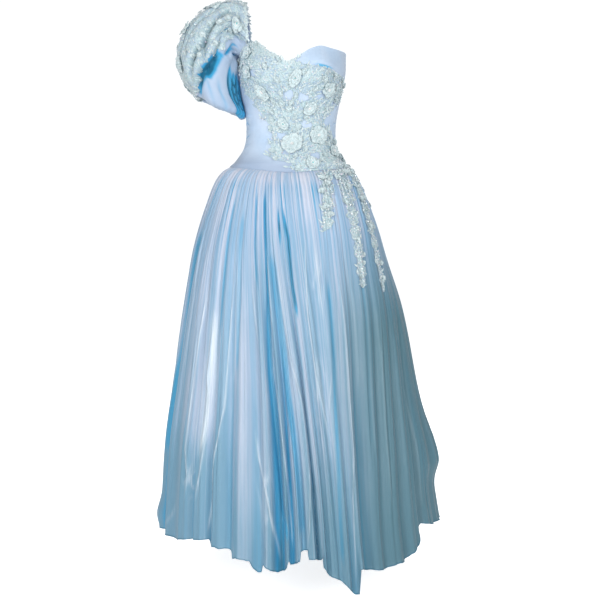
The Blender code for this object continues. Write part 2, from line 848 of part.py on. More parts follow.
def skirt_column_at(skirt, row, angle):
    """Column number in the skirt's grid where the cloth faces a given angle."""
    best, best_error = 0, 1e9
    for column in range(skirt.shape[1]):
        x, y, _ = on_grid(skirt, row, column)
        error = abs(wrap(math.degrees(math.atan2(x, -y)) - angle))
        if error < best_error:
            best, best_error = column, error
    return best


def trail_rows(end_drop):
    """Rows of a trail: every row of the skirt's grid, with even steps between them."""
    length = -HEM_LINE[0].height + WAIST_SEAM[0].height
    rows = []
    for i in range(len(SKIRT_ROWS) - 1):
        low, high = SKIRT_ROWS[i] * length, SKIRT_ROWS[i + 1] * length
        steps = max(1, round((high - low) / LACE_TRAIL_STEP))
        for step in range(steps):
            if low + (high - low) * step / steps < end_drop:
                rows.append(i + step / steps)
    return rows[1:]


def make_lace_trails(skirt, normals):
    """Tapering trails of lace that hang down the skirt from the left hip."""
    for trail in LACE_TRAILS:
        rows = trail_rows(trail.end_drop)
        swing = trail.end_angle - trail.top_angle
        middle = [skirt_column_at(skirt, row, trail.top_angle + swing * k / (len(rows) - 1))
                  for k, row in enumerate(rows)]
        low = min(middle) - TRAIL_REACH_COLUMNS
        columns = np.arange(low, max(middle) + TRAIL_REACH_COLUMNS + 1, 1.0)
        outer, inner = patch_on(skirt, normals, rows, columns, trail.lift, LACE_WALL)

        def inside(row, column):
            k = min(int(row), len(rows) - 2)
            part = row - k
            centre = middle[k] * (1 - part) + middle[k + 1] * part
            point = on_grid(outer, row, column, closed=False)
            heart = on_grid(outer, row, centre - low, closed=False)
            share = (outer[0, 0, 2] - point[2]) / trail.end_drop
            width = trail.top_width + (trail.end_width - trail.top_width) * share
            return np.linalg.norm(point - heart) < width / 2

        add_wall(trail.name, outer, inner, "lace", inside=inside)


def flower_solid(name, place, reach, petals, turn):
    """A raised flower: petals cupped up from a heart that sits on the lace.

    place gives a point and its outward direction for a step right and up from the
    flower's middle.
    """
    shape = bmesh.new()
    around = petals * POINTS_PER_PETAL
    centre, away = place(0, 0)
    top_heart = shape.verts.new(centre + away * (FLOWER_WALL + FLOWER_HEART))
    low_heart = shape.verts.new(centre)
    top, low = [], []
    for step in range(around):
        bearing = math.radians(turn + 360 * step / around)
        radius = reach * (1.0 if step % POINTS_PER_PETAL else PETAL_DIP)
        point, away = place(radius * math.cos(bearing), radius * math.sin(bearing))
        low.append(shape.verts.new(point + away * FLOWER_CUP))
        top.append(shape.verts.new(point + away * (FLOWER_CUP + FLOWER_WALL)))
    for step in range(around):
        after = (step + 1) % around
        shape.faces.new((top_heart, top[step], top[after]))
        shape.faces.new((low_heart, low[after], low[step]))
        shape.faces.new((top[step], low[step], low[after]))
        shape.faces.new((top[step], low[after], top[after]))
    return add_solid(name, shape, "beads")


def place_on(grid, normals, row, column, lift):
    """A function that steps across and up a grid of cloth from one of its points."""
    here = on_grid(grid, row, column)
    column_size = np.linalg.norm(on_grid(grid, row, column + 1) - here)
    row_up = min(row + 0.5, grid.shape[0] - 1)
    row_down = max(row - 0.5, 0)
    row_size = np.linalg.norm(on_grid(grid, row_up, column) - on_grid(grid, row_down, column))
    row_size /= row_up - row_down

    def place(across, up):
        at_row = min(max(row + up / row_size, 0), grid.shape[0] - 1)
        at_column = column + across / column_size
        away = on_grid(normals, at_row, at_column)
        away /= np.linalg.norm(away)
        return on_grid(grid, at_row, at_column) + away * lift, away

    return place


def make_flowers(bodice, bodice_normals, sleeve, sleeve_normals):
    """Raised flowers over the lace of the bodice and the sleeve."""
    lift = LACE_LIFT + LACE_WALL + BODICE_FLOWER_LIFT
    for number, flower in enumerate(BODICE_FLOWERS, 1):
        column = (flower.angle + 180) * BODICE_COLUMNS / 360
        low = seam_height(flower.angle)
        high = read_table(TOP_EDGE, "angle", "height", flower.angle)
        row = (flower.height - low) / (high - low) * BODICE_ROWS
        place = place_on(bodice, bodice_normals, row, column, lift)
        name = f"bodice_flower_{number}"
        flower_solid(name, place, flower.reach, flower.petals, flower.turn)
    lift = LACE_LIFT + LACE_WALL + SLEEVE_FLOWER_LIFT
    for number, flower in enumerate(SLEEVE_FLOWERS, 1):
        turns = [wrap(sleeve_turns(j, flower.ring) - flower.turn) for j in range(SLEEVE_COLUMNS)]
        column = min(range(SLEEVE_COLUMNS), key=lambda j: abs(turns[j]))
        row = float(np.interp(flower.ring, SLEEVE_ROWS, range(len(SLEEVE_ROWS))))
        place = place_on(sleeve, sleeve_normals, row, column, lift)
        name = f"sleeve_flower_{number}"
        flower_solid(name, place, flower.reach, flower.petals, flower.twist)


def main():
    clear_scene()
    bodice = bodice_grid()
    bodice_normals = grid_normals(bodice, closed=True)
    skirt = skirt_grid()
    skirt_normals = -grid_normals(skirt, closed=True)
    sleeve = sleeve_grid(bodice)
    sleeve_normals = -grid_normals(sleeve, closed=True)
    make_bodice(bodice, bodice_normals)
    make_skirt(skirt, skirt_normals)
    make_sleeve(sleeve, sleeve_normals)
    make_bodice_lace(bodice, bodice_normals)
    make_sleeve_lace(sleeve, sleeve_normals)
    make_lace_trails(skirt, skirt_normals)
    make_flowers(bodice, bodice_normals, sleeve, sleeve_normals)


main()
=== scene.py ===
"""Looks of a beaded one-shoulder ball gown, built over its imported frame.

A boned satin bodice, a satin puff sleeve, a gathered organza skirt, beaded lace
with raised flowers, and a plain stage. Tables are in millimetres and degrees, and
meshes in metres. The front faces -Y and +X is the wearer's left. Angles run round
the body from 0 at centre front, positive towards +X.
"""
import math
from collections import namedtuple

import bmesh
import bpy
import numpy as np
from bpy.props import FloatProperty, FloatVectorProperty, IntProperty, PointerProperty
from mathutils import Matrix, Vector


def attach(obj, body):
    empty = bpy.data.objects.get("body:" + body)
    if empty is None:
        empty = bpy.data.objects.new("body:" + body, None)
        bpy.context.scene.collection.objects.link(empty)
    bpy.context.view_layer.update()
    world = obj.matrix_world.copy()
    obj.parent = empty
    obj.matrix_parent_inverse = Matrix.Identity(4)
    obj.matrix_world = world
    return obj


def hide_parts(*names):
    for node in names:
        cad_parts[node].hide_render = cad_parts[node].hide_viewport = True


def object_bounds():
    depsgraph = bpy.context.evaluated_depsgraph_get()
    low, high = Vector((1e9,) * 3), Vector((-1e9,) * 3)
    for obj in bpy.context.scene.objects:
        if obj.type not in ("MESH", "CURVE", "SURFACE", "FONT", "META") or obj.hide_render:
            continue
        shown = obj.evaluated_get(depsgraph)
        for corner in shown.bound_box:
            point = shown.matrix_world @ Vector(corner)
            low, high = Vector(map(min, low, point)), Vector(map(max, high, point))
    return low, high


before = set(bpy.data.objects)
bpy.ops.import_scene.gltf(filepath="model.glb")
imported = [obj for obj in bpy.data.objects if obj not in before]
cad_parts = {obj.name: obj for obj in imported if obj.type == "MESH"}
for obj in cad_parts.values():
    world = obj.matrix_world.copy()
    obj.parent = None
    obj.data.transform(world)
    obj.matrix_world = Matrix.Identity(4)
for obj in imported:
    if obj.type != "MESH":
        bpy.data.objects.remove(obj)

bl_info = {
    "name": "Beaded Ball Gown",
    "version": (1, 0, 0),
    "blender": (4, 5, 0),
    "location": "View3D > Sidebar > Gown",
    "description": "Builds the satin, organza, lace and beads of a one-shoulder ball gown",
    "category": "Object",
}


def records(fields, *rows):
    """Rows of a table whose values are read by name."""
    kind = namedtuple("Record", fields)
    return [kind(*row) for row in rows]


MM = 0.001
SEAM_GAP = 0.32
LACE_LIFT = 0.55
CAD_BOX = [list(corner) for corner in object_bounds()]

# Soft uneven waves: how many add up, how close they are, and what brings them to about 1
NOISE_WAVES = 7
NOISE_PITCH = (0.6, 1.8)
NOISE_SCALE = 4.0
# Fields that more than one table has
EDGE_POINT = "angle height"
SLEEVE_FOLD = "start_ring end_ring start_turn end_turn half_turn depth"
PULL = "half_width height glint line"

# Bodice, from the dropped waist seam to the top edge
BODICE_SECTIONS = records(
    "height right_side left_side front back",
    (-125, 166, 158, 118, 118), (-99, 166, 158, 112.5, 117), (-88, 155, 143, 108.5, 112),
    (-71, 142, 134, 101, 104), (-50, 129, 126, 94, 95), (-22, 122, 123, 87, 87),
    (0, 121, 123, 85, 84), (27, 122, 125, 88, 84), (60, 127, 131, 97, 88), (95, 136, 138, 107, 92),
    (130, 141, 146, 113, 94), (165, 142, 151, 113, 94), (203, 142, 151, 107, 91),
    (232, 136, 148, 100, 88),
)
WAIST_SEAM = records(
    EDGE_POINT,
    (-180, -105), (-135, -103), (-90, -99), (-42, -110), (0, -121), (42, -112), (90, -99),
    (135, -103), (180, -105),
)
TOP_EDGE = records(
    EDGE_POINT,
    (-180, 178), (-160, 190), (-144, 211), (-129, 226), (-114, 205), (-100, 192), (-90, 190),
    (-78, 192), (-66, 203), (-51, 230), (-38, 224), (-21, 195), (-12, 181), (-3, 167), (10, 187),
    (21, 205), (32, 213), (46, 209), (78, 207), (110, 201), (144, 188), (180, 178),
)
BODICE_COLUMNS = 60
# Rough height of the bodice; like the skirt's length it sizes the rolled edges
BODICE_HEIGHT = 300
CUPS = records(
    "x height push half_width half_height",
    (-72, 158, 21, 50, 56), (72, 158, 21, 50, 56),
)
CUP_SIDE_FADE = 60
BODICE_PANELS = records(
    "name start end",
    ("bodice_back_right", -180, -90), ("bodice_front_side_right", -90, -30),
    ("bodice_front_centre", -30, 30), ("bodice_front_side_left", 30, 90),
    ("bodice_back_left", 90, 180),
)

# Skirt, by the drop below the waist seam; sizes are at the outermost ridges
SKIRT_SECTIONS = records(
    "drop right_side left_side front back",
    (0, 166, 158, 116, 117), (10, 183, 168, 127, 129), (38, 205, 187, 145, 151),
    (104, 232, 216, 172, 188), (170, 254, 241, 195, 218), (236, 271, 260, 216, 244),
    (385, 296, 307, 254, 292), (583, 323, 347, 293, 334), (748, 345, 380, 322, 360),
    (896, 353, 402, 350, 376), (1060, 356, 430, 376, 384),
)
HEM_LINE = records(
    EDGE_POINT,
    (-180, -1090), (-130, -1088), (-90, -1084), (-62, -1076), (-36, -1060), (-24, -1082),
    (-11, -1108), (-1, -1094), (4, -1066), (9, -1098), (15, -1124), (21, -1162), (25, -1124),
    (46, -1108), (57, -1052), (72, -1052), (90, -1068), (130, -1086), (180, -1090),
)
FOLDS = records(
    "seam_angle hem_angle depth start",
    (-176, -178, 26, 0.05), (-160, -163, 30, 0.10), (-145, -148, 24, 0.05), (-130, -133, 32, 0.00),
    (-114, -118, 24, 0.12), (-98, -104, 30, 0.05), (-81, -89, 22, 0.20), (-67, -75, 26, 0.05),
    (-59, -61, 18, 0.30), (-52, -46, 26, 0.12), (-44, -36, 30, 0.05), (-35, -26, 24, 0.08),
    (-28, -12, 24, 0.00), (-21, -3, 36, 0.00), (-17, 1, 22, 0.12), (-14, 5, 20, 0.35),
    (-11, 10, 20, 0.00), (-3, 13, 10, 0.02), (7, 17, 14, 0.02), (26, 21, 18, 0.05),
    (38, 27, 24, 0.05), (58, 36, 26, 0.03), (74, 46, 28, 0.05), (84, 58, 40, 0.25),
    (93, 71, 18, 0.20), (103, 84, 16, 0.10), (113, 98, 28, 0.05), (124, 113, 24, 0.12),
    (136, 128, 32, 0.00), (148, 142, 24, 0.08), (160, 155, 30, 0.05), (172, 169, 24, 0.10),
)
FOLD_LEAN = 0.09
FOLD_WANDER = 0.03
FOLD_SWELL = 0.16
FOLD_SHARPNESS = 1.6
FOLD_SHARPNESS_SPREAD = 0.5
FOLD_GROWTH_SPAN = 0.75
FOLD_EASED_SHARE = 0.8
SWING_POWER = 1.8
BILLOWS = records(
    "angle drop half_angle above below push",
    (84, 785, 15, 95, 42, 26), (-90, 945, 13, 40, 40, 17), (21, 1010, 7, 260, 90, 26),
)
SKIRT_LENGTH = 980
SKIRT_PANELS = ("skirt_back_right", "skirt_front_right", "skirt_front_left", "skirt_back_left")

# Puff sleeve: rings from the armhole and neck edge to the turned-in cuff
SLEEVE_RINGS = records(
    "outer_x outer_z inner_x inner_z half_depth",
    (-165, 350, -149, 173, 86), (-224, 331, -149, 143, 108), (-276, 291, -147, 119, 120),
    (-307, 231, -144, 98, 122), (-307, 172, -141, 79, 114), (-284, 122, -136, 60, 100),
    (-255, 92, -133, 42, 80), (-241, 103, -152, 62, 58),
)
ARMHOLE_FRONT = -54
ARMHOLE_BACK = -126
NECK_EDGE = records(
    "turn x y z",
    (-90, -115, 85, 226), (-60, -114, 74, 275), (-30, -120, 46, 326), (0, -124, 0, 346),
    (30, -122, -44, 328), (60, -116, -74, 277), (90, -112, -85, 230),
)
SLEEVE_COLUMNS = 36
EVEN_TURNS_FROM_RING = 2.5
PUCKER_COUNT = 9
ARMHOLE_PUCKERS = (0.0, 0.6, 1.2, 3.0)
CUFF_PUCKERS = (5.5, 7.0)
SLEEVE_FOLD_FULLNESS = 0.7

# Lace on the bodice: its two side edges at each height
BODICE_LACE = records(
    "height right_edge left_edge",
    (-125, 2, 118), (-99, 0, 116), (-86, -20, 110), (-60, -26, 100), (-30, -25, 72), (0, -27, 58),
    (30, -38, 52), (55, -46, 62), (80, -54, 84), (110, -64, 88), (140, -68, 60), (158, -70, 24),
    (175, -70, -2), (240, -70, -6),
)
BODICE_MEAN_RADIUS = 120
BODICE_LACE_GAPS = records(
    "angle height reach",
    (-2, 82, 13), (14, 76, 12), (34, 84, 12), (20, 6, 13), (-12, -22, 10), (52, 20, 14),
    (30, -76, 11), (-4, -70, 10), (62, 66, 12), (-40, 140, 9),
)
# Lace on the sleeve: how far it reaches round each ring, to the front and to the back
SLEEVE_LACE = records(
    "ring front_turn back_turn",
    (0.0, 90, -76), (1.0, 106, -82), (2.0, 110, -86), (3.0, 102, -86), (4.0, 91, -74),
    (5.0, 78, -66), (6.5, 50, -50), (7.0, 22, -24), (8.0, -1, 1),
)
# Lace trails on the skirt: a centre line that swings and tapers down the cloth
LACE_TRAILS = records(
    "name top_angle end_angle end_drop top_width end_width",
    ("skirt_lace_front", 41, 28, 156, 42, 28), ("skirt_lace_middle", 58, 47, 305, 44, 22),
    ("skirt_lace_side", 76, 63, 345, 42, 18), ("skirt_lace_hip", 98, 96, 120, 40, 20),
)
TRAIL_MARGIN = 26

# Raised lace flowers: place on the cloth, reach of the petals, petal count, turn
BODICE_FLOWERS = records(
    "angle height reach petals turn",
    (-49, 196, 20, 5, 10), (-47, 146, 19, 5, 40), (-32, 92, 24, 6, 0), (5, 124, 23, 5, 25),
    (44, 100, 23, 6, 15), (23, 50, 20, 5, 50), (-9, 8, 17, 5, 5), (2, -45, 32, 6, 20),
    (37, -20, 29, 6, 45), (22, -97, 19, 5, 30), (63, -60, 20, 5, 60), (92, -78, 18, 5, 15),
)
SLEEVE_FLOWERS = records(
    "turn ring reach petals twist",
    (80, 0.7, 19, 6, 20), (34, 1.7, 21, 5, 0), (26, 3.3, 24, 6, 35), (34, 4.9, 23, 5, 10),
    (-30, 2.2, 22, 5, 50), (-34, 4.0, 23, 6, 25),
)

# Fine cloth: rows and columns of each grid, and the walls of the cloths
BODICE_GRID = (104, 360)
SKIRT_GRID = (168, 896)
SLEEVE_GRID = (136, 240)
SATIN_CLOTH = 1.1
ORGANZA_CLOTH = 0.7
LACE_CLOTH = 0.5
PETAL_CLOTH = 0.45

# Drag lines pulled into the satin of the bodice
BODICE_CREASES = records(
    "from_angle from_height to_angle to_height half_width depth",
    (-92, 26, -56, 8, 3.4, 2.4), (-90, 10, -62, -4, 3.0, 1.7), (-88, -26, -54, -12, 3.2, 2.2),
    (-84, -42, -50, -34, 3.6, 1.5), (-80, 48, -52, 34, 4.0, 1.3), (84, 96, 50, 60, 3.0, 2.4),
    (80, 74, 54, 46, 2.6, 1.8), (88, 22, 58, 8, 3.2, 1.8), (86, -18, 60, -8, 3.4, 1.6),
    (18, 158, 58, 154, 5.0, 2.6), (24, 146, 60, 140, 3.0, 1.6), (150, 20, 112, 4, 3.6, 2.0),
    (152, -14, 116, -2, 3.2, 1.7), (-150, 18, -112, 2, 3.6, 2.0), (-152, -16, -116, -4, 3.2, 1.7),
)
CREASE_RUN = (0, 0.25, 0.4, 1)
CREASE_SWAY = 2.0
CREASE_LIP = 0.45
CREASE_LIP_PLACE = 2.2
# Painted shade in the drag lines, by their depth
CREASE_SHADE = 0.18
SEAM_ANGLES = (-180, -90, -30, 30, 90, 180)
SEAM_SINK = 0.12
SEAM_HALF_WIDTH = 1.3
SEAM_PUCKER = 0.35
SEAM_PUCKER_WIDTH = 6
SATIN_WAVES = 0.35
EDGE_ROLL = 0.9
WAIST_ROLL = 0.6
EDGE_ROLL_REACH = 3.2

# How strongly the hollow of each fold shows the organza's deep shot colour and painted shade
FOLD_TONES = (
    0.5, 0.5, 0.5, 0.5, 0.5, 0.55, 0.8, 0.75, 0.35, 0.35, 0.3, 0.35, 0.45, 0.75, 0.8, 0.6,
    0.5, 0.3, 0.35, 0.45, 0.5, 0.45, 0.5, 0.55, 0.6, 0.6, 0.6, 0.5, 0.5, 0.5, 0.5, 0.5,
)
# Share of each main fold's depth that the fine cloth keeps, fold by fold
FOLD_KEEP = (
    0.9, 0.8, 1.0, 0.9, 0.7, 0.9, 0.8, 0.75, 0.6, 0.75, 0.6, 0.65, 0.7, 0.75, 0.8, 0.8,
    0.8, 0.85, 0.8, 0.8, 0.8, 0.45, 0.5, 0.45, 0.6, 0.8, 0.9, 0.7, 0.9, 1.0, 0.8, 0.95,
)
# Colour of each fold's ridge: 1 is the pale lavender, -1 the sky blue
FOLD_TINTS = (
    0.2, -0.2, 0.3, 0.0, 0.2, -0.3, 0.1, -0.5, -0.1, 0.2, 0.7, -0.5, 1.2, 0.1, -0.5, 0.8,
    0.1, 0.6, -0.1, -0.6, 0.4, -0.2, -0.3, -0.1, -0.3, 0.0, 0.2, -0.2, 0.3, -0.1, 0.2, -0.2,
)
# Creases of the skirt with painted highlights along them: sizes in millimetres, how bright
# the painted glint is, and the points they run through, as folds round the skirt and shares
# of the way down
PULLS = records(
    PULL,
    (2.0, 2.6, 1.0, ((9.45, 0.34), (9.25, 0.48), (9.15, 0.63), (9.12, 0.76), (9.22, 0.81),
     (9.36, 0.85))),
    (1.8, 1.8, 0.6, ((9.45, 0.56), (9.43, 0.71), (9.40, 0.85))),
    (2.6, 2.6, 0.8, ((10.20, 0.44), (10.16, 0.57), (10.35, 0.62), (10.30, 0.72), (10.10, 0.80),
     (9.85, 0.88))),
    (1.8, 2.2, 0.9, ((11.45, 0.34), (11.30, 0.50), (11.20, 0.64), (10.70, 0.80), (10.40, 0.97))),
    (2.0, 1.4, 0.4, ((11.50, 0.10), (11.48, 0.30), (11.30, 0.56))),
    (2.4, 2.8, 1.0, ((12.42, 0.67), (12.52, 0.73), (12.85, 0.80), (13.10, 0.88), (13.40, 0.97))),
    (1.8, 1.8, 0.7, ((12.50, 0.30), (12.60, 0.38), (12.78, 0.46))),
    (2.2, 2.6, 0.8, ((13.90, 0.20), (13.85, 0.36), (13.60, 0.52), (13.95, 0.63), (14.35, 0.80),
     (14.55, 0.96))),
    (3.4, 3.6, 0.6, ((15.30, 0.24), (15.50, 0.40), (15.80, 0.52), (16.30, 0.62), (16.35, 0.76),
     (15.80, 0.96))),
    (2.0, 2.4, 0.9, ((18.40, 0.18), (17.85, 0.38), (17.90, 0.49), (18.00, 0.60))),
    (3.6, 2.6, 0.7, ((18.85, 0.19), (18.80, 0.32), (18.82, 0.37))),
    (2.2, 2.4, 0.9, ((17.90, 0.50), (18.20, 0.59), (18.65, 0.67))),
    (2.0, 2.0, 0.8, ((18.98, 0.50), (18.68, 0.60))),
    (2.8, 3.0, 0.7, ((19.85, 0.28), (19.97, 0.52), (20.00, 0.69), (19.75, 0.80), (19.65, 0.97))),
    (2.2, 1.8, 0.4, ((21.95, 0.30), (21.80, 0.51), (21.78, 0.69), (21.90, 0.86))),
    (2.4, 1.8, 0.35, ((22.90, 0.40), (23.50, 0.57), (23.70, 0.76), (23.70, 0.94))),
    (3.0, 2.0, 0.4, ((8.05, 0.16), (8.30, 0.35), (8.28, 0.56))),
    (9.0, 1.8, 1.2, ((10.30, 0.38), (10.30, 0.55), (10.25, 0.66), (10.05, 0.77))),
    (7.0, 1.4, 0.7, ((18.10, 0.46), (18.25, 0.55), (18.50, 0.64))),
    (6.0, 1.0, 0.35, ((8.60, 0.90), (8.30, 0.94), (7.90, 0.98))),
)
# Hollows that sink between the gathers and show the organza's deep shot colour and painted shade
HOLLOWS = records(
    "half_width depth tone line",
    (5.0, 5.0, 0.80, ((13.80, 0.04), (13.80, 0.22), (13.40, 0.39), (13.28, 0.52), (13.35, 0.65),
     (13.60, 0.84), (14.20, 0.95))),
    (12.0, 6.0, 0.62, ((14.50, 0.20), (14.90, 0.39), (15.00, 0.54), (15.22, 0.65), (15.35, 0.82),
     (15.50, 0.97))),
    (4.0, 6.0, 1.0, ((16.80, 0.09), (17.05, 0.18), (16.90, 0.31), (16.95, 0.40))),
    (3.0, 5.0, 1.0, ((16.40, 0.09), (16.15, 0.20))),
    (6.0, 2.0, 0.45, ((11.75, 0.10), (11.85, 0.35), (11.70, 0.55))),
    (7.0, 3.0, 0.55, ((19.25, 0.26), (19.20, 0.46), (18.92, 0.71), (18.65, 0.96))),
    (17.0, 2.0, 0.70, ((7.40, 0.16), (7.55, 0.45), (7.20, 0.62), (7.15, 0.80))),
    (24.0, 2.0, 0.50, ((22.75, 0.34), (23.60, 0.56), (23.90, 0.76), (24.0, 0.95))),
    (6.0, 2.5, 0.45, ((21.10, 0.24), (21.10, 0.48), (21.05, 0.72))),
    (5.0, 3.0, 0.50, ((10.75, 0.06), (10.80, 0.26), (10.70, 0.46))),
    (4.0, 3.0, 0.55, ((12.90, 0.04), (12.80, 0.20), (12.90, 0.32))),
)
# Crumpled, shiny stretches with painted glints on their ridges, by fold, share of the way down and
# reach
CRUMPLES = records(
    "place share half_width half_length height",
    (10.20, 0.58, 0.34, 0.17, 1.8), (9.35, 0.84, 0.22, 0.035, 1.6), (12.80, 0.80, 0.30, 0.09, 1.2),
    (18.20, 0.57, 0.50, 0.12, 1.6), (18.80, 0.28, 0.30, 0.08, 1.2), (29.2, 0.55, 0.36, 0.13, 2.2),
    (26.1, 0.72, 0.40, 0.10, 2.0), (3.4, 0.62, 0.36, 0.13, 2.2), (0.8, 0.40, 0.30, 0.10, 1.8),
)
# Gathers below the waist seam: seed, width, depth, how far down each one runs, and how
# strongly its colour shows at the seam and at the hem
GATHER_RUNS = (
    (17, (5.5, 12.5), (2.2, 4.6), (0.14, 0.46), (0.85, 0.42)),
    (18, (2.8, 6.0), (0.9, 2.0), (0.06, 0.26), (0.8, 0.2)),
    (19, (2.6, 5.0), (0.3, 0.7), (0.2, 0.9), (0.5, 0.32)),
)
PILLOW_POWER = 0.7
PILLOW_MIDDLE = 0.65
# Painted shade in the grooves between the gathers, from faint to strong
GROOVE_TONES = (0.05, 0.95)
GROOVE_WIDTH = 0.36
GATHERED_RUN = (-0.004, 0.012)
# Seeded creases all round: how many, their width, height, painted glint, length and drift
LONG_CREASES = 95
LONG_CREASE_SEED = 29
LONG_CREASE_WIDTH = (1.6, 3.2)
LONG_CREASE_HEIGHT = (0.5, 1.5)
LONG_CREASE_PAINTED_GLINT = (0, 0.35)
LONG_CREASE_START = (0.05, 0.55)
LONG_CREASE_LENGTH = (0.2, 0.6)
LONG_CREASE_DRIFT = (-0.22, 0.22)
RIPPLE_DEPTH = 1.2
RIPPLE_RUN = (0.15, 0.75)
ORGANZA_WAVES = 0.45
CRUMPLE_WAVES = (3.4, 2.2)
CRUMPLE_STEEPNESS = 2.4
# Painted highlight on the ridges of the crumples
CRUMPLE_PAINTED_GLINT = 0.7
# Tints of the skirt's stretches, and how much of each fold's own tint shows
FOLD_TINT = 0.8
UPPER_TINT = -0.35
UPPER_TINT_RUN = (0.08, 0.2, 0.4, 0.6)
LOWER_TINT = -1.1
LOWER_TINT_PLACE = (9.7, 1.4)
LOWER_TINT_RUN = (0.64, 0.82)
# Painted shade on the skirt: strength, the folds between which it shows, and how it grows downwards
SKIRT_SHADES = (
    (1.0, (17.5, 22.0, 25.5, 30.0), (0.10, 0.46)),
    (0.5, (12, 18, 26, 30), (0.45, 0.9)),
    (0.17, (11, 13, 21, 24), (0.08, 0.3)),
)
# Painted shade on the bodice above the waist seam, and on the whole sleeve
WAIST_SHADE = 0.6
WAIST_SHADE_RUN = (0.84, 0.97)
SLEEVE_SHADE = 0.35
# How far the hem rises above its even line, fold by fold, where one lap ends over the next
HEM_LAPS = (
    (8.80, 0), (9.00, 4), (10.29, 12), (10.45, 12), (10.50, -6), (10.71, 0), (10.93, 6), (11.14, 8),
    (11.36, 15), (11.60, 17), (11.65, 0), (11.79, 10), (12.00, 16), (12.21, 22), (12.30, 6),
    (12.43, -2), (12.56, 0), (12.63, 20), (12.72, 15), (12.86, 12), (13.07, 5), (13.29, -9),
    (13.71, -10), (13.93, 0), (14.14, 12), (14.22, 14), (14.36, -2), (14.57, -9), (15.16, -12),
    (15.22, 10), (15.43, 12), (15.64, 20), (15.76, 26), (15.80, 5), (16.07, 18), (16.29, 26),
    (16.50, 24), (16.71, 32), (16.86, 42), (16.91, 19), (17.14, 15), (17.36, 9), (17.57, 4),
    (18.00, 8), (18.43, 14), (18.86, 16), (19.29, 12), (19.50, 6), (19.71, -5), (19.79, -10),
    (19.84, 46), (19.93, 40), (20.14, 23), (20.36, 15), (20.57, 10), (21.00, 5), (21.43, 0),
    (22.00, 5), (22.36, 0), (22.71, 2), (22.93, -8), (23.14, -18), (23.40, -4), (23.57, 16),
    (23.79, 13), (24.00, 8), (24.43, 0),
)
HEM_LAP_START = 0.87
HEM_ROLL = 1.3
HEM_ROLL_REACH = 4.0

# Folds of the fine sleeve: the recess beside the lace, then the smooth fan, then the
# gathers along the bodice, and their mirror behind
FINE_SLEEVE_FOLDS = records(
    SLEEVE_FOLD,
    (0.5, 3.9, 52, 90, 4.5, 18), (2.5, 5.8, 85, 54, 4.5, 18), (2.2, 4.9, 114, 96, 7, 22),
    (3.6, 6.8, 107, 50, 7, 22), (1.7, 3.2, 94, 108, 3.4, 9), (0.5, 2.5, 130, 115, 4.0, 10),
    (0.2, 1.4, 146, 132, 4.5, 9), (1.4, 5.4, 18, 8, 8, 9), (1.0, 5.6, -60, -76, 8, 17),
    (2.6, 6.8, -98, -68, 11, 24), (0.6, 2.6, -128, -114, 5, 10),
)
# Finer creases: the gathers along the bodice, then the folds of the front, top and back
SLEEVE_CREASES = records(
    SLEEVE_FOLD,
    (1.6, 7.4, 137, 142, 3.6, 8), (2.2, 7.6, 147, 150, 3.0, 7), (1.8, 7.2, 156, 158, 3.0, 8),
    (2.6, 7.5, 165, 167, 2.8, 7), (2.0, 7.0, 174, 175, 2.8, 7), (3.0, 4.6, 142, 168, 2.6, 5),
    (4.2, 5.8, 144, 172, 2.6, 5), (5.4, 6.9, 146, 170, 2.6, 5), (0.2, 2.2, 98, 86, 4.5, 6),
    (0.2, 1.9, 114, 122, 4.0, 5), (3.4, 7.2, 96, 90, 5.0, 1.6), (4.0, 7.4, 118, 112, 5.0, 1.6),
    (1.0, 4.6, 44, 50, 4.0, 5), (2.2, 6.2, 34, 40, 4.5, 5), (2.8, 6.6, 4, 14, 4.0, 4),
    (1.2, 4.8, -32, -40, 4.5, 5), (1.4, 6.9, -139, -142, 4.0, 7), (1.8, 7.4, -150, -152, 3.4, 6),
    (1.2, 7.0, -161, -163, 3.2, 6), (2.0, 7.0, -171, -172, 3.0, 5), (0.2, 2.2, -98, -88, 4.5, 6),
    (0.3, 2.0, -118, -126, 4.5, 6),
)
# Swells of the puff: height, middle and reach in turns, and the rings between which it shows
SWELLS = (
    (11.0, 178, 38, (0.4, 1.5, 7.0, 8.0)),
    (15.0, 96, 42, (5.2, 6.9, 7.5, 8.6)),
)
FINE_PUCKER_DEPTH = (2.5, 0.9)
SLEEVE_WAVES = 0.8
# Painted shade on the puff: strength, middle and reach in turns, and the rings over which it grows
INNER_SHADE = (0.42, 158, 20, (1.6, 3.0))
FAN_SHADE = (0.16, 110, 45, (2.0, 4.0))

# Embroidery
LEAF_SEED = 21
BEAD_SEED = 34
LEAF_SLIMNESS = 0.42
FLOWER_SIZE = 0.92
# How far above the lace or its cloth each thing sits
FLOWER_LIFT = 1.2
LEAF_LIFT = 0.5
EDGE_LEAF_LIFT = 0.4
SMALL_FLOWER_LIFT = 0.9
BEAD_LIFT = 1.4
SEQUIN_LIFT = 1.4
STONE_LIFT = 1.2
HEART_STONE_LIFT = 4.4
HEART_PEARL_LIFT = 4.6
HEART_BEAD_LIFT = 7.0
# Clear reach round each raised flower, as a share of its own
LEAF_CLEARANCE = 0.72
FLOWER_CLEARANCE = 1.15
STITCH_SIZE = 4.2
STITCH_SEED = 11
NET_RISE = 0.25
STITCH_RISE = 0.7
SMALL_FLOWER = (7.5, 5, 2.2)
EDGE_LEAVES = (170, 120)
NECK_LEAVES = (-76, 88)
# Where the lace of the bodice lies, in degrees from the centre back
BODICE_LACE_SPAN = (104, 300)
# What each lace area carries: leaves, small flowers and beads
BODICE_LOAD = (520, 46)
SLEEVE_LOAD = (430, 30, 1100)
TRAIL_BEADS = (200, 420, 420, 130)
TRAIL_LEAVES = 0.30
TRAIL_FLOWER_STEP = 34
# How far apart they are sewn on
LEAF_SPACING = 5.2
FLOWER_SPACING = 17
BEAD_SPACING = 2.7
SEQUIN_SPACING = 6
STONE_SPACING = 9
BEADS_PER_SEQUIN = 4
BEADS_PER_STONE = 14
PEARL_RADIUS = 1.7
STONE_RADIUS = 2.3
SEQUIN_RADIUS = 1.9
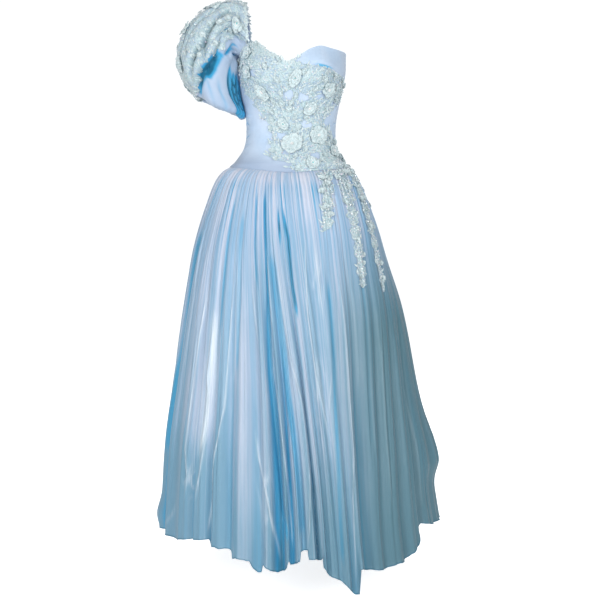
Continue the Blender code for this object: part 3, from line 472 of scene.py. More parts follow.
# Rings of pearls and beads round the heart of a raised flower
HEART_PEARLS = 7
HEART_PEARL_RING = 3.4
HEART_BEADS = 14
HEART_BEAD_RING = 0.5

# Looks: streaks across and along the organza, from soft folds to fine creases, and colours
ORGANZA_STREAKS = ((150.0, 2.0), (48.0, 1.2), (620.0, 7.0), (105.0, 0.8))
FULL_TURN = 6.2832
SATIN_STREAK = (0.62, 0.72, 0.88)
# Colour of the painted highlights along the organza's creases
ORGANZA_PAINTED_GLINT = (0.84, 0.91, 0.96)
# Pale colour of the painted shimmer on the beads
BEAD_PAINTED_SHIMMER = (0.95, 0.97, 1.0)
# Colours of the beads, each with where it starts among their seeded tints
SEED_COLOURS = (
    (0.0, (0.86, 0.92, 0.92)), (0.35, (0.62, 0.76, 0.78)), (0.6, (0.94, 0.96, 0.96)),
    (0.8, (0.36, 0.58, 0.62)), (0.92, (0.80, 0.76, 0.86)),
)
PEARL_COLOURS = ((0.0, (0.92, 0.93, 0.90)), (0.5, (0.86, 0.90, 0.90)), (0.8, (0.93, 0.88, 0.88)))
# The white crystals are a painted sparkle: a plain white base that stands in for blown-out
# highlights
CRYSTAL_COLOURS = (
    (0.0, (0.10, 0.62, 0.66)), (0.22, (0.96, 0.98, 1.0)), (0.78, (0.62, 0.86, 0.92)),
    (0.9, (0.86, 0.78, 0.92)),
)

# Stage
CAMERA_PLACE = (0.0256, -2.698, -0.318)
CAMERA_TILT = 2.04
CAMERA_SHIFT = -0.03
CAMERA_LENS = 58.74
FLOOR_RADIUS = 40
FLOOR_GLOW = 0.8
STUDIO_GLOW = 0.37
STUDIO_SEEN = 1.08
LIGHTS = (
    ("key", (-1.7, -3.1, 0.5), (0, 0, -0.4), 1.3, 58, (1.0, 0.98, 0.96)),
    ("fill", (1.7, -2.9, 0.7), (0, 0, -0.1), 1.6, 46, (0.98, 0.99, 1.0)),
    ("back", (0.8, 3.0, 1.8), (0, 0, -0.4), 1.8, 60, (1.0, 1.0, 1.0)),
)


def smooth_slopes(keys, values):
    """Slopes of a curve through the table that never overshoots a row."""
    steps = np.diff(values) / np.diff(keys)
    slopes = np.zeros(len(keys))
    for i in range(1, len(keys) - 1):
        before, after = steps[i - 1], steps[i]
        if before * after > 0:
            slopes[i] = 2 * before * after / (before + after)
    slopes[0], slopes[-1] = steps[0], steps[-1]
    return slopes


def read_table(table, key, column, at):
    """Smooth values of one column of a table at keys between its rows."""
    keys = np.array([getattr(row, key) for row in table], float)
    values = np.array([getattr(row, column) for row in table], float)
    slopes = smooth_slopes(keys, values)
    at = np.clip(at, keys[0], keys[-1])
    i = np.clip(np.searchsorted(keys, at, side="right") - 1, 0, len(keys) - 2)
    span = keys[i + 1] - keys[i]
    s = (at - keys[i]) / span
    first = (1 + 2 * s) * (1 - s) ** 2 * values[i]
    first = first + s * (1 - s) ** 2 * span * slopes[i]
    last = s * s * (3 - 2 * s) * values[i + 1] + s * s * (s - 1) * span * slopes[i + 1]
    return first + last


def fade(value, start, end):
    """0 before start, 1 after end, smooth between."""
    s = np.clip((value - start) / (end - start), 0.0, 1.0)
    return s * s * (3 - 2 * s)


def window(value, rise, full, fall, gone):
    """0 outside rise to gone, 1 between full and fall."""
    return fade(value, rise, full) * (1 - fade(value, fall, gone))


def wrap(angle):
    """The same angle between -180 and 180."""
    return (angle + 180) % 360 - 180


def bump(distance):
    """1 in the middle, falling to 0 on both sides."""
    return np.exp(-distance ** 2)


def ripple_noise(a, b, seed):
    """Soft uneven waves between -1 and 1 over two coordinates."""
    rng = np.random.default_rng(seed)
    total = np.zeros(np.broadcast(a, b).shape)
    for _ in range(NOISE_WAVES):
        heading = rng.uniform(0, 2 * math.pi)
        pitch = rng.uniform(*NOISE_PITCH)
        shift = rng.uniform(0, 2 * math.pi)
        total += np.sin(pitch * (a * math.cos(heading) + b * math.sin(heading)) + shift)
    return total / NOISE_SCALE


def grid_normals(points, closed, up):
    """Outward unit directions at the points of a grid of cloth."""
    if closed:
        across = np.roll(points, -1, axis=1) - np.roll(points, 1, axis=1)
    else:
        across = np.gradient(points, axis=1)
    normals = np.cross(across, np.gradient(points, axis=0)) * up
    return normals / np.maximum(np.linalg.norm(normals, axis=2, keepdims=True), 1e-9)


class Cloth:
    """A closed tube of cloth as a fine grid of points in millimetres.

    up is 1 where the rows climb the piece and -1 where they run down it. hollow, from
    0 to 1, marks painted shade and deep shot colour, mostly by how deep in a fold each point lies.
    """

    def __init__(self, points, up, hollow=None):
        self.points = points
        self.up = up
        self.normals = grid_normals(points, True, up)
        self.hollow = np.zeros(points.shape[:2]) if hollow is None else hollow
        self.rows, self.columns = points.shape[:2]

    def read(self, grid, row, column):
        """Values of a grid between its points; past an end the cloth runs straight on."""
        i = np.clip(np.floor(row).astype(int), 0, self.rows - 2)
        down = row - i
        column = np.asarray(column) % self.columns
        j = np.floor(column).astype(int) % self.columns
        k = (j + 1) % self.columns
        over = column - np.floor(column)
        if grid.ndim == 3:
            down, over = down[..., None], over[..., None]
        near = grid[i, j] * (1 - over) + grid[i, k] * over
        far = grid[i + 1, j] * (1 - over) + grid[i + 1, k] * over
        return near * (1 - down) + far * down

    def spot(self, row, column, lift=0.0):
        """Points that lie lift millimetres off the cloth."""
        row, column = np.asarray(row, float), np.asarray(column, float)
        away = self.read(self.normals, np.clip(row, 0, self.rows - 1), column)
        away /= np.maximum(np.linalg.norm(away, axis=-1, keepdims=True), 1e-9)
        return self.read(self.points, row, column) + away * np.asarray(lift)[..., None]

    def reach(self, row, column, across, climb):
        """Row and column that lie across and up by some millimetres from a place."""
        row, column = np.asarray(row, float), np.asarray(column, float)
        here = np.clip(row, 1, self.rows - 2)
        wide = self.read(self.points, here, column + 1.5)
        wide = wide - self.read(self.points, here, column - 1.5)
        tall = self.read(self.points, here + 1, column)
        tall = tall - self.read(self.points, here - 1, column)
        column_size = np.linalg.norm(wide, axis=-1) / 3
        row_size = np.linalg.norm(tall, axis=-1) / 2
        return row + self.up * climb / row_size, column + across / column_size


def oval(table, key, at, angle):
    """Points and outward directions on a section of the body or skirt."""
    sine, cosine = np.sin(np.radians(angle)), np.cos(np.radians(angle))
    left, right, front, back = (
        read_table(table, key, side, at) for side in ("left_side", "right_side", "front", "back"))
    half_width = np.where(sine > 0, left, right)
    half_depth = np.where(cosine > 0, front, back)
    outward = np.stack([half_depth * sine, -half_width * cosine], axis=-1)
    outward /= np.linalg.norm(outward, axis=-1, keepdims=True)
    return half_width * sine, -half_depth * cosine, outward[..., 0], outward[..., 1]


def seam_height(angle):
    """Height of the waist seam."""
    return read_table(WAIST_SEAM, "angle", "height", wrap(angle))


def drag_lines(angle, height):
    """Outward push of the lines pulled into the satin, and how deep they lie."""
    arc = np.radians(angle) * BODICE_MEAN_RADIUS
    push, depth = np.zeros(np.shape(angle)), np.zeros(np.shape(angle))
    for crease in BODICE_CREASES:
        ends = (crease.from_angle, crease.to_angle)
        x0, x1 = (math.radians(end) * BODICE_MEAN_RADIUS for end in ends)
        z0, z1 = crease.from_height, crease.to_height
        length = math.hypot(x1 - x0, z1 - z0)
        along = ((arc - x0) * (x1 - x0) + (height - z0) * (z1 - z0)) / length ** 2
        off = ((arc - x0) * (z1 - z0) - (height - z0) * (x1 - x0)) / length
        off = (off + CREASE_SWAY * np.sin(along * 5 + z0)) / crease.half_width
        taper = crease.depth * window(along, *CREASE_RUN)
        push -= taper * bump(off)
        push += CREASE_LIP * taper * bump(off - CREASE_LIP_PLACE)
        depth = np.maximum(depth, taper * bump(off))
    return push, depth


def bodice_detail(angle, height, share):
    """Seams, drag lines and edge rolls of the bodice, as an outward push."""
    arc = np.radians(angle) * BODICE_MEAN_RADIUS
    push = np.zeros(np.shape(angle))
    for seam in SEAM_ANGLES:
        off = arc - math.radians(seam) * BODICE_MEAN_RADIUS
        push -= SEAM_SINK * bump(off / SEAM_HALF_WIDTH)
        push += SEAM_PUCKER * bump(off / SEAM_PUCKER_WIDTH) * np.sin(height / 1.9 + seam)
    push += drag_lines(angle, height)[0]
    push += SATIN_WAVES * ripple_noise(arc / 9, height / 7, 3)
    push += EDGE_ROLL * bump((1 - share) * BODICE_HEIGHT / EDGE_ROLL_REACH)
    push += WAIST_ROLL * bump(share * BODICE_HEIGHT / EDGE_ROLL_REACH)
    return push


def bodice_shape(angle, share, detail=True):
    """Points on the outside of the bodice, from the waist seam to the top edge."""
    low = seam_height(angle)
    high = read_table(TOP_EDGE, "angle", "height", angle)
    height = low + (high - low) * share
    x, y, out_x, out_y = oval(BODICE_SECTIONS, "height", height, angle)
    push = np.zeros(np.shape(x))
    for cup in CUPS:
        across = (x - cup.x) / cup.half_width
        climb = (height - cup.height) / cup.half_height
        push += cup.push * np.exp(-across ** 2 - climb ** 2)
    push *= fade(-y, 0, CUP_SIDE_FADE)
    if detail:
        push += bodice_detail(angle, height, share)
    return np.stack([x + out_x * push, y + out_y * push, height], axis=-1)


def bodice_cloth():
    """The satin of the bodice, a little darker with painted shade where it flares over the hips and
    in its drag lines.
    """
    rows, columns = BODICE_GRID
    angles = np.arange(columns) * 360 / columns - 180
    share, angle = np.meshgrid(np.arange(rows) / (rows - 1), angles, indexing="ij")
    points = bodice_shape(angle, share)
    cloth = Cloth(points, 1, CREASE_SHADE * drag_lines(angle, points[..., 2])[1])
    cloth.dusk = WAIST_SHADE * fade(1 - share, *WAIST_SHADE_RUN)
    return cloth


def fold_angles(share):
    """Angle of every fold at each share of the way down, one column per fold."""
    seam = np.array([fold.seam_angle for fold in FOLDS], float)
    hem = np.array([fold.hem_angle for fold in FOLDS], float)
    swing = 1 - (1 - share[..., None]) ** SWING_POWER
    return seam + (hem - seam) * swing


def skirt_base(place, share):
    """Smooth points of the skirt with their outward directions, angle and drop.

    place counts folds round the skirt, with a ridge at each whole number.
    """
    count = len(FOLDS)
    index = np.floor(place).astype(int)
    part = place - index
    angles = fold_angles(share)
    before, valley, after = (
        np.take_along_axis(angles, ((index + step) % count)[..., None], -1)[..., 0]
        for step in (-1, 0, 1))
    before = before - 360.0 * (index == 0)
    after = after + 360.0 * (index == count - 1)
    near, far = (before + valley) / 2, (after + valley) / 2
    angle = np.where(part < 0.5, near + (valley - near) * part * 2,
                     valley + (far - valley) * (part * 2 - 1))
    top = seam_height(angle) - SEAM_GAP
    height = top + (read_table(HEM_LINE, "angle", "height", wrap(angle)) - top) * share
    x, y, out_x, out_y = oval(SKIRT_SECTIONS, "drop", top - height, angle)
    return np.stack([x, y, height], axis=-1), out_x, out_y, angle, top - height


def main_folds(place, share, angle, drop):
    """The big folds and billows of the skirt, and how deep in a fold a point lies."""
    index = np.floor(place).astype(int)
    lean = np.sin(7.3 * index + 1) * FOLD_LEAN + FOLD_WANDER * np.sin(6 * share + index)
    part = place - index + lean * np.sin(2 * np.pi * (place - index))
    depth = np.array([fold.depth for fold in FOLDS], float)[index]
    start = np.array([fold.start for fold in FOLDS], float)[index]
    sharpness = FOLD_SHARPNESS + FOLD_SHARPNESS_SPREAD * np.sin(3.7 * index)
    hollow = (0.5 - 0.5 * np.cos(2 * np.pi * part)) ** sharpness
    growth = FOLD_EASED_SHARE * fade(share, start, start + FOLD_GROWTH_SPAN)
    growth = growth + (1 - FOLD_EASED_SHARE) * share
    growth = growth * (1 + FOLD_SWELL * np.sin(5 * share + 2.1 * index))
    growth = growth * np.array(FOLD_KEEP)[index]
    push = -hollow * growth * depth
    for billow in BILLOWS:
        across = wrap(angle - billow.angle) / billow.half_angle
        reach = np.where(drop < billow.drop, billow.above, billow.below)
        push += billow.push * np.exp(-across ** 2 - ((drop - billow.drop) / reach) ** 2)
    ripple = np.sin(4 * np.pi * part + 2.3 * index + 2 * share)
    ripple += 0.6 * np.sin(10 * np.pi * part + 4.7 * index + 3 * share)
    push += RIPPLE_DEPTH * ripple * fade(share, *RIPPLE_RUN) * (1 - hollow)
    tone = np.array(FOLD_TONES)[index]
    return push, np.clip(hollow * growth * (0.35 + depth / 40) * tone * 1.25, 0, 1)


def gathers(arc, share):
    """Pillowed gathers of uneven widths that fade out down the skirt.

    arc is the distance of every column round the waist seam. The tints, and the painted
    shade in the grooves between the gathers, come with them.
    """
    push, tint, groove = (np.zeros(np.shape(share)) for _ in range(3))
    for seed, widths, depths, lengths, (seam_tint, hem_tint) in GATHER_RUNS:
        rng = np.random.default_rng(seed)
        breaks = np.cumsum(rng.uniform(*widths, 400))
        breaks = np.r_[0, breaks[breaks < arc[-1] - widths[0]], arc[-1] + 0.01]
        many = len(breaks) - 1
        depth, length = rng.uniform(*depths, many), rng.uniform(*lengths, many)
        shade, tone = rng.uniform(-1, 1, many), rng.uniform(*GROOVE_TONES, many)
        k = np.clip(np.searchsorted(breaks, arc, side="right") - 1, 0, many - 1)
        across = (arc - breaks[k]) / (breaks[k + 1] - breaks[k]) * 2 - 1
        pillow = np.cos(np.pi / 2 * across) ** PILLOW_POWER
        fading = (1 - fade(share, 0.02, length[k])) * fade(share, *GATHERED_RUN)
        push += depth[k] * (pillow - PILLOW_MIDDLE) * fading
        kept = hem_tint + (seam_tint - hem_tint) * fading
        tint += shade[k] * (0.35 + 0.65 * pillow) * kept
        # Painted shade along the edges of each gather
        dark = tone[k] * depth[k] / depths[1] * fading * fade(share, 0.0, 0.05)
        groove = np.maximum(groove, dark * bump((1 - np.abs(across)) / GROOVE_WIDTH))
    return push, tint, groove


def line_offsets(place, share, span, line):
    """Millimetres from a line that runs down the skirt, and a mask of its run."""
    shares = [point[1] for point in line]
    centre = np.interp(share, shares, [point[0] for point in line])
    off = wrap((place - centre) * 360 / len(FOLDS)) * len(FOLDS) / 360 * span
    run = fade(share, shares[0] - 0.02, shares[0] + 0.06)
    return off, run * (1 - fade(share, shares[-1] - 0.05, shares[-1] + 0.02))


def long_creases():
    """Seeded fine creases that run down between the folds all round."""
    rng = np.random.default_rng(LONG_CREASE_SEED)
    found = []
    for _ in range(LONG_CREASES):
        place, start = rng.uniform(0, len(FOLDS)), rng.uniform(*LONG_CREASE_START)
        end = min(start + rng.uniform(*LONG_CREASE_LENGTH), 0.99)
        drift = rng.uniform(*LONG_CREASE_DRIFT)
        half_width = rng.uniform(*LONG_CREASE_WIDTH)
        height = rng.uniform(*LONG_CREASE_HEIGHT) * rng.choice((-1, 1))
        glint = rng.uniform(*LONG_CREASE_PAINTED_GLINT)
        found.append((half_width, height, glint, ((place, start), (place + drift, end))))
    return records(PULL, *found)


def skirt_cloth():
    """The organza skirt, with masks of its hollows, its painted glints, its tints and its painted
    shade.
    """
    columns, count = SKIRT_GRID[1], len(FOLDS)
    places = np.arange(columns) * count / columns
    share, place = np.meshgrid(skirt_rows(), places, indexing="ij")
    base, out_x, out_y, angle, drop = skirt_base(place, share)
    steps = np.linalg.norm(np.roll(base, -1, axis=1) - base, axis=2)
    span = steps * columns / count
    arc = np.r_[0, np.cumsum(steps[0])[:-1]]
    push, hollow = main_folds(place, share, angle, drop)
    gathered, tint, groove = gathers(arc, share)
    push += gathered
    hollow = np.maximum(hollow, groove)
    fold_tint = np.interp(place % count, np.arange(count + 1), FOLD_TINTS + FOLD_TINTS[:1])
    tint += FOLD_TINT * fold_tint * fade(share, 0.05, 0.5)
    tint += UPPER_TINT * window(share, *UPPER_TINT_RUN)
    middle, reach = LOWER_TINT_PLACE
    tint += LOWER_TINT * bump((place - middle) / reach) * fade(share, *LOWER_TINT_RUN)
    glint = np.zeros(np.shape(place))
    for pull in PULLS + long_creases():
        off, run = line_offsets(place, share, span, pull.line)
        push += pull.height * bump(off / pull.half_width) * run
        # Painted highlight along each crease
        glint = np.maximum(glint, pull.glint * bump(off / (1.1 * pull.half_width)) * run)
    for sink in HOLLOWS:
        off, run = line_offsets(place, share, span, sink.line)
        shape = np.exp(-np.abs(off / sink.half_width) ** 3) * run
        push -= sink.depth * shape
        hollow = np.maximum(hollow, sink.tone * shape)
    for crumple in CRUMPLES:
        across = (place - crumple.place) / crumple.half_width
        along = (share - crumple.share) / crumple.half_length
        near = np.exp(-across ** 2 - along ** 2)
        wide, long = CRUMPLE_WAVES
        waves = ripple_noise(across * wide, along * long, round(crumple.place * 10))
        ridges = 1 - CRUMPLE_STEEPNESS * np.abs(waves)
        push += crumple.height * near * ridges
        # Painted highlight on the crumples' ridges
        glint = np.maximum(glint, CRUMPLE_PAINTED_GLINT * near * fade(ridges, 0.2, 1.0))
    push += ORGANZA_WAVES * ripple_noise(place * 9, share * 14, 5)
    push += HEM_ROLL * bump((1 - share) * SKIRT_LENGTH / HEM_ROLL_REACH)
    points = base + np.stack([out_x * push, out_y * push, np.zeros(np.shape(push))], axis=-1)
    rise = np.interp(place, *zip(*HEM_LAPS))
    points[..., 2] += rise * np.clip((share - HEM_LAP_START) / (1 - HEM_LAP_START), 0, 1) ** 2
    cloth = Cloth(points, -1, np.clip(hollow, 0, 1))
    # Painted shade over stretches of the skirt, growing downwards
    dusk = np.zeros(np.shape(place))
    for strength, run, down in SKIRT_SHADES:
        dusk = np.maximum(dusk, strength * window(place, *run) * fade(share, *down))
    cloth.masks = {
        "hollow": cloth.hollow, "glint": glint, "tint": tint, "share": share, "dusk": dusk}
    return cloth


def skirt_rows():
    """Shares of the rows: close at the gathers and the hem, even between."""
    rows = SKIRT_GRID[0]
    even = np.linspace(0, 1, rows)
    return even - 0.05 * np.sin(2 * np.pi * even) * (1 - even)


def sleeve_turns(column, place):
    """Turn of a column: even round the puff, and as the armhole's points at its start."""
    even = 90 + 360 / SLEEVE_COLUMNS * column
    joined = round((ARMHOLE_FRONT - ARMHOLE_BACK) * BODICE_COLUMNS / 360)
    under = 90 + 180 * column / joined
    over = 270 + 180 * (column - joined) / (SLEEVE_COLUMNS - joined)
    first = np.where(column <= joined, under, over)
    return first + (even - first) * fade(place, 0, EVEN_TURNS_FROM_RING)


def sleeve_start(turn):
    """The sleeve's first loop: the armhole below, the free neck edge above."""
    turn = wrap(turn)
    neck = np.stack([read_table(NECK_EDGE, "turn", axis, turn) for axis in "xyz"], axis=-1)
    share = np.where(turn > 0, (turn - 90) / 180, (turn + 270) / 180)
    angle = ARMHOLE_FRONT + (ARMHOLE_BACK - ARMHOLE_FRONT) * share
    hole = bodice_shape(angle, np.ones(np.shape(angle)), detail=False)
    away = hole * np.array([1, 1, 0])
    away /= np.linalg.norm(away, axis=-1, keepdims=True)
    hole = hole + away * SEAM_GAP + np.array([0, 0, SEAM_GAP])
    return np.where((np.abs(turn) <= 90)[..., None], neck, hole)


def sleeve_ring(ring, turn):
    """Points of one of the sleeve's rings, before its folds."""
    cosine, sine = np.cos(np.radians(turn)), np.sin(np.radians(turn))
    middle_x, middle_z = (ring.outer_x + ring.inner_x) / 2, (ring.outer_z + ring.inner_z) / 2
    x = middle_x + (ring.outer_x - middle_x) * cosine
    z = middle_z + (ring.outer_z - middle_z) * cosine
    return np.stack([x, -ring.half_depth * sine, z], axis=-1)


def fold_depths(folds, turn, place):
    """How far a list of folds sinks the sleeve below its round form."""
    depth = np.zeros(np.shape(turn))
    for fold in folds:
        along = np.clip((place - fold.start_ring) / (fold.end_ring - fold.start_ring), 0, 1)
        centre = fold.start_turn + (fold.end_turn - fold.start_turn) * along
        across = wrap(turn - centre) / fold.half_turn
        depth += fold.depth * np.sin(np.pi * along) ** SLEEVE_FOLD_FULLNESS * np.exp(-across ** 2)
    return depth


def sleeve_cloth():
    """The satin puff, with its folds, creases, puckers and swells."""
    rows, columns = SLEEVE_GRID
    last = len(SLEEVE_RINGS)
    steps = np.arange(columns) * SLEEVE_COLUMNS / columns
    place, column = np.meshgrid(np.linspace(0, last, rows), steps, indexing="ij")
    turn = sleeve_turns(column, place)
    rings = [sleeve_start(sleeve_turns(column, 0 * place))]
    rings += [sleeve_ring(ring, turn) for ring in SLEEVE_RINGS]
    rings = np.stack(rings)
    i = np.minimum(place.astype(int), last - 1)
    s = (place - i)[..., None]
    row_index, column_index = np.indices(place.shape)
    p0, p1, p2, p3 = (
        rings[np.clip(i + k, 0, last), row_index, column_index] for k in (-1, 0, 1, 2))
    bend, twist = 2 * p0 - 5 * p1 + 4 * p2 - p3, 3 * p1 - p0 - 3 * p2 + p3
    smooth = 0.5 * (2 * p1 + (p2 - p0) * s + bend * s * s + twist * s ** 3)
    outward = grid_normals(smooth, True, -1)
    armhole, cuff = FINE_PUCKER_DEPTH
    strength = armhole * window(place, *ARMHOLE_PUCKERS) + cuff * fade(place, *CUFF_PUCKERS)
    puckers = np.cos(np.radians(PUCKER_COUNT * turn))
    puckers += 0.5 * np.cos(np.radians(3 * PUCKER_COUNT * turn) + 2 * np.sin(np.radians(4 * turn)))
    sunk = fold_depths(FINE_SLEEVE_FOLDS, turn, place)
    small = fold_depths(SLEEVE_CREASES, turn, place)
    waves = ripple_noise(np.radians(turn) * 5, place * 2.2, 8) * fade(place, 0, 1)
    push = strength * puckers - sunk - small + SLEEVE_WAVES * waves
    for height, middle, reach, run in SWELLS:
        push += height * bump(wrap(turn - middle) / reach) * window(place, *run)
    points = smooth + outward * push[..., None]
    inner, fan = (strength * bump(wrap(turn - middle) / reach) * fade(place, *run)
                  for strength, middle, reach, run in (INNER_SHADE, FAN_SHADE))
    # Painted shade: deep in the folds and creases, on the side by the bodice and over the fan
    hollow = np.maximum(sunk / 20 + small / 14, inner + small / 11) + fan
    cloth = Cloth(points, -1, np.clip(hollow, 0, 1))
    cloth.turn, cloth.place = turn, place
    return cloth


def finish_piece(name, mesh, material, nodes=()):
    """Make the object, ride it on the frame and let it stand for its CAD nodes."""
    mesh.shade_smooth()
    mesh.materials.append(material)
    piece = bpy.data.objects.new(name, mesh)
    bpy.context.scene.collection.objects.link(piece)
    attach(piece, "root")
    if nodes:
        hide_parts(*nodes)
    return piece


def add_wall(piece, thickness):
    """Give cloth its thickness inwards, so that its outside stays where it is."""
    wall = piece.modifiers.new("Cloth wall", "SOLIDIFY")
    wall.thickness = thickness * MM
    wall.offset = -1
    wall.use_rim = True


def set_values(mesh, name, values):
    """Keep one value for each point of a mesh."""
    attribute = mesh.attributes.new(name, "FLOAT", "POINT")
    attribute.data.foreach_set("value", np.ascontiguousarray(values, np.float32))


def set_uvs(mesh, across, along):
    """Cloth coordinates in metres, for weaves and streaks that follow the cloth."""
    corners = np.zeros(len(mesh.loops), np.int32)
    mesh.loops.foreach_get("vertex_index", corners)
    layer = mesh.uv_layers.new(name="cloth")
    pairs = np.stack([across[corners], along[corners]], axis=1)
    layer.data.foreach_set("uv", pairs.astype(np.float32).ravel())


def grid_mesh(name, points, up, values, drop=None):
    """A sheet of cloth laid through a grid of points.

    values are named grids kept on its points; drop marks the points cut away.
    """
    rows, columns = points.shape[:2]
    sheet = bmesh.new()
    bmesh.ops.create_grid(sheet, x_segments=columns - 1, y_segments=rows - 1, size=1)
    mesh = bpy.data.meshes.new(name)
    sheet.to_mesh(mesh)
    sheet.free()
    flat = np.zeros(len(mesh.vertices) * 3, np.float32)
    mesh.vertices.foreach_get("co", flat)
    flat = flat.reshape(-1, 3)
    column = np.rint((flat[:, 0] + 1) / 2 * (columns - 1)).astype(int)
    row = np.rint((flat[:, 1] + 1) / 2 * (rows - 1)).astype(int)
    if up < 0:
        row = rows - 1 - row
    mesh.vertices.foreach_set("co", (points[row, column] * MM).astype(np.float32).ravel())
    across = np.linalg.norm(np.diff(points, axis=1), axis=2).mean(axis=0) * MM
    along = np.linalg.norm(np.diff(points, axis=0), axis=2).mean(axis=1) * MM
    across, along = np.r_[0, np.cumsum(across)], np.r_[0, np.cumsum(along)]
    set_uvs(mesh, across[column], along[row])
    for key, grid in values.items():
        set_values(mesh, key, grid[row, column])
    if drop is not None:
        cut = bmesh.new()
        cut.from_mesh(mesh)
        cut.verts.ensure_lookup_table()
        gone = [cut.verts[i] for i in np.flatnonzero(drop[row, column])]
        bmesh.ops.delete(cut, geom=gone, context="VERTS")
        loose = [vert for vert in cut.verts if not vert.link_faces]
        bmesh.ops.delete(cut, geom=loose, context="VERTS")
        cut.to_mesh(mesh)
        cut.free()
    mesh.update()
    crisp_edges(mesh)
    return mesh


def crisp_edges(mesh):
    """Keep the cut edges of a sheet crisp once it has its wall."""
    edges = np.zeros(len(mesh.loops), np.int32)
    mesh.loops.foreach_get("edge_index", edges)
    border = np.bincount(edges, minlength=len(mesh.edges)) == 1
    sharp = mesh.attributes.new("sharp_edge", "BOOLEAN", "EDGE")
    sharp.data.foreach_set("value", border)


def panel_points(cloth, start, end, gap=0.03):
    """Columns start to end of a tube of cloth, pulled in from its seams."""
    columns = [j % cloth.columns for j in range(start, end + 1)]
    points = cloth.points[:, columns].copy()
    for edge, neighbour in ((0, 1), (-1, -2)):
        inward = points[:, neighbour] - points[:, edge]
        points[:, edge] += inward / np.linalg.norm(inward, axis=1, keepdims=True) * gap
    return points, columns


def make_bodice(cloth, satin):
    """Five satin panels with pressed seams, drag lines and turned edges."""
    for panel in BODICE_PANELS:
        start, end = ((edge + 180) * BODICE_GRID[1] // 360 for edge in (panel.start, panel.end))
        points, columns = panel_points(cloth, start, end)
        values = {"hollow": cloth.hollow[:, columns], "dusk": cloth.dusk[:, columns]}
        mesh = grid_mesh(panel.name + "_satin", points, 1, values)
        piece = finish_piece(panel.name + "_satin", mesh, satin, [panel.name])
        add_wall(piece, SATIN_CLOTH)


def make_skirt(cloth, organza):
    """Four gathered widths of organza, seamed down the hollows of folds."""
    width = cloth.columns // len(SKIRT_PANELS)
    valley = cloth.columns // len(FOLDS) // 2
    for number, name in enumerate(SKIRT_PANELS):
        start = number * width + valley
        points, columns = panel_points(cloth, start, start + width)
        values = {key: mask[:, columns] for key, mask in cloth.masks.items()}
        mesh = grid_mesh(name + "_organza", points, -1, values)
        piece = finish_piece(name + "_organza", mesh, organza, [name])
        add_wall(piece, ORGANZA_CLOTH)


def make_sleeve(cloth, satin):
    """The puff: one satin tube, gathered into the armhole and the cuff."""
    closed = np.concatenate([cloth.points, cloth.points[:, :1]], axis=1)
    hollow = np.concatenate([cloth.hollow, cloth.hollow[:, :1]], axis=1)
    values = {"hollow": hollow, "dusk": np.full(hollow.shape, SLEEVE_SHADE)}
    mesh = grid_mesh("sleeve_puff_satin", closed, -1, values)
    seam = bmesh.new()
    seam.from_mesh(mesh)
    bmesh.ops.remove_doubles(seam, verts=seam.verts, dist=1e-5)
    seam.to_mesh(mesh)
    seam.free()
    piece = finish_piece("sleeve_puff_satin", mesh, satin, ["sleeve_puff"])
    add_wall(piece, SATIN_CLOTH)


def lace_outline(angle, height):
    """True where the lace covers the bodice, with its scalloped edge and its gaps."""
    scallop = 2.4 * np.sin(height / 5.2) + 1.5 * np.sin(height / 2.7 + 1)
    right = read_table(BODICE_LACE, "height", "right_edge", height) + scallop
    left = read_table(BODICE_LACE, "height", "left_edge", height) + scallop
    covered = (angle > right) & (angle < left)
    arc = np.radians(angle) * BODICE_MEAN_RADIUS
    for gap in BODICE_LACE_GAPS:
        off_x = arc - math.radians(gap.angle) * BODICE_MEAN_RADIUS
        off_z = height - gap.height
        lobes = 1 + 0.22 * np.sin(3 * np.arctan2(off_z, off_x) + gap.angle)
        covered &= np.hypot(off_x, off_z * 1.25) > gap.reach * lobes
    return covered


def bodice_covered(cloth, row, column):
    """True where the lace lies over the bodice, clear of the armhole."""
    angle = column * 360 / cloth.columns - 180
    height = cloth.spot(row, column)[..., 2]
    near_armhole = (angle < ARMHOLE_FRONT + 2) & (row > cloth.rows * 0.93)
    return lace_outline(angle, height) & ~near_armhole


def sleeve_covered(cloth, row, column):
    """True where the lace lies over the crown and outer roll of the sleeve."""
    place = row / (cloth.rows - 1) * len(SLEEVE_RINGS)
    turn = wrap(sleeve_turns(column * SLEEVE_COLUMNS / cloth.columns, place))
    scallop = 2.4 * np.sin(place * 7) + 0.9 * np.sin(place * 17)
    front = read_table(SLEEVE_LACE, "ring", "front_turn", place) + scallop
    back = read_table(SLEEVE_LACE, "ring", "back_turn", place) + scallop
    return (turn < front) & (turn > back)


def skirt_column(cloth, row, angle):
    """Column of the skirt that faces an angle at a row."""
    ring = cloth.points[int(row)]
    facing = np.degrees(np.arctan2(ring[:, 0], -ring[:, 1]))
    return int(np.argmin(np.abs(wrap(facing - angle))))


def trail_centres(cloth, trail):
    """Rows of a lace trail with the column of its middle at each."""
    drop = cloth.points[0, :, 2].mean() - cloth.points[:, :, 2].mean(axis=1)
    rows = np.flatnonzero((drop > 3) & (drop < trail.end_drop))
    share = (rows - rows[0]) / (rows[-1] - rows[0])
    angles = trail.top_angle + (trail.end_angle - trail.top_angle) * share
    found = np.unwrap([skirt_column(cloth, row, angle) for row, angle in zip(rows, angles)],
                      period=cloth.columns)
    smooth = np.convolve(np.pad(found, 6, mode="edge"), np.ones(13) / 13, mode="valid")
    return rows, smooth, share


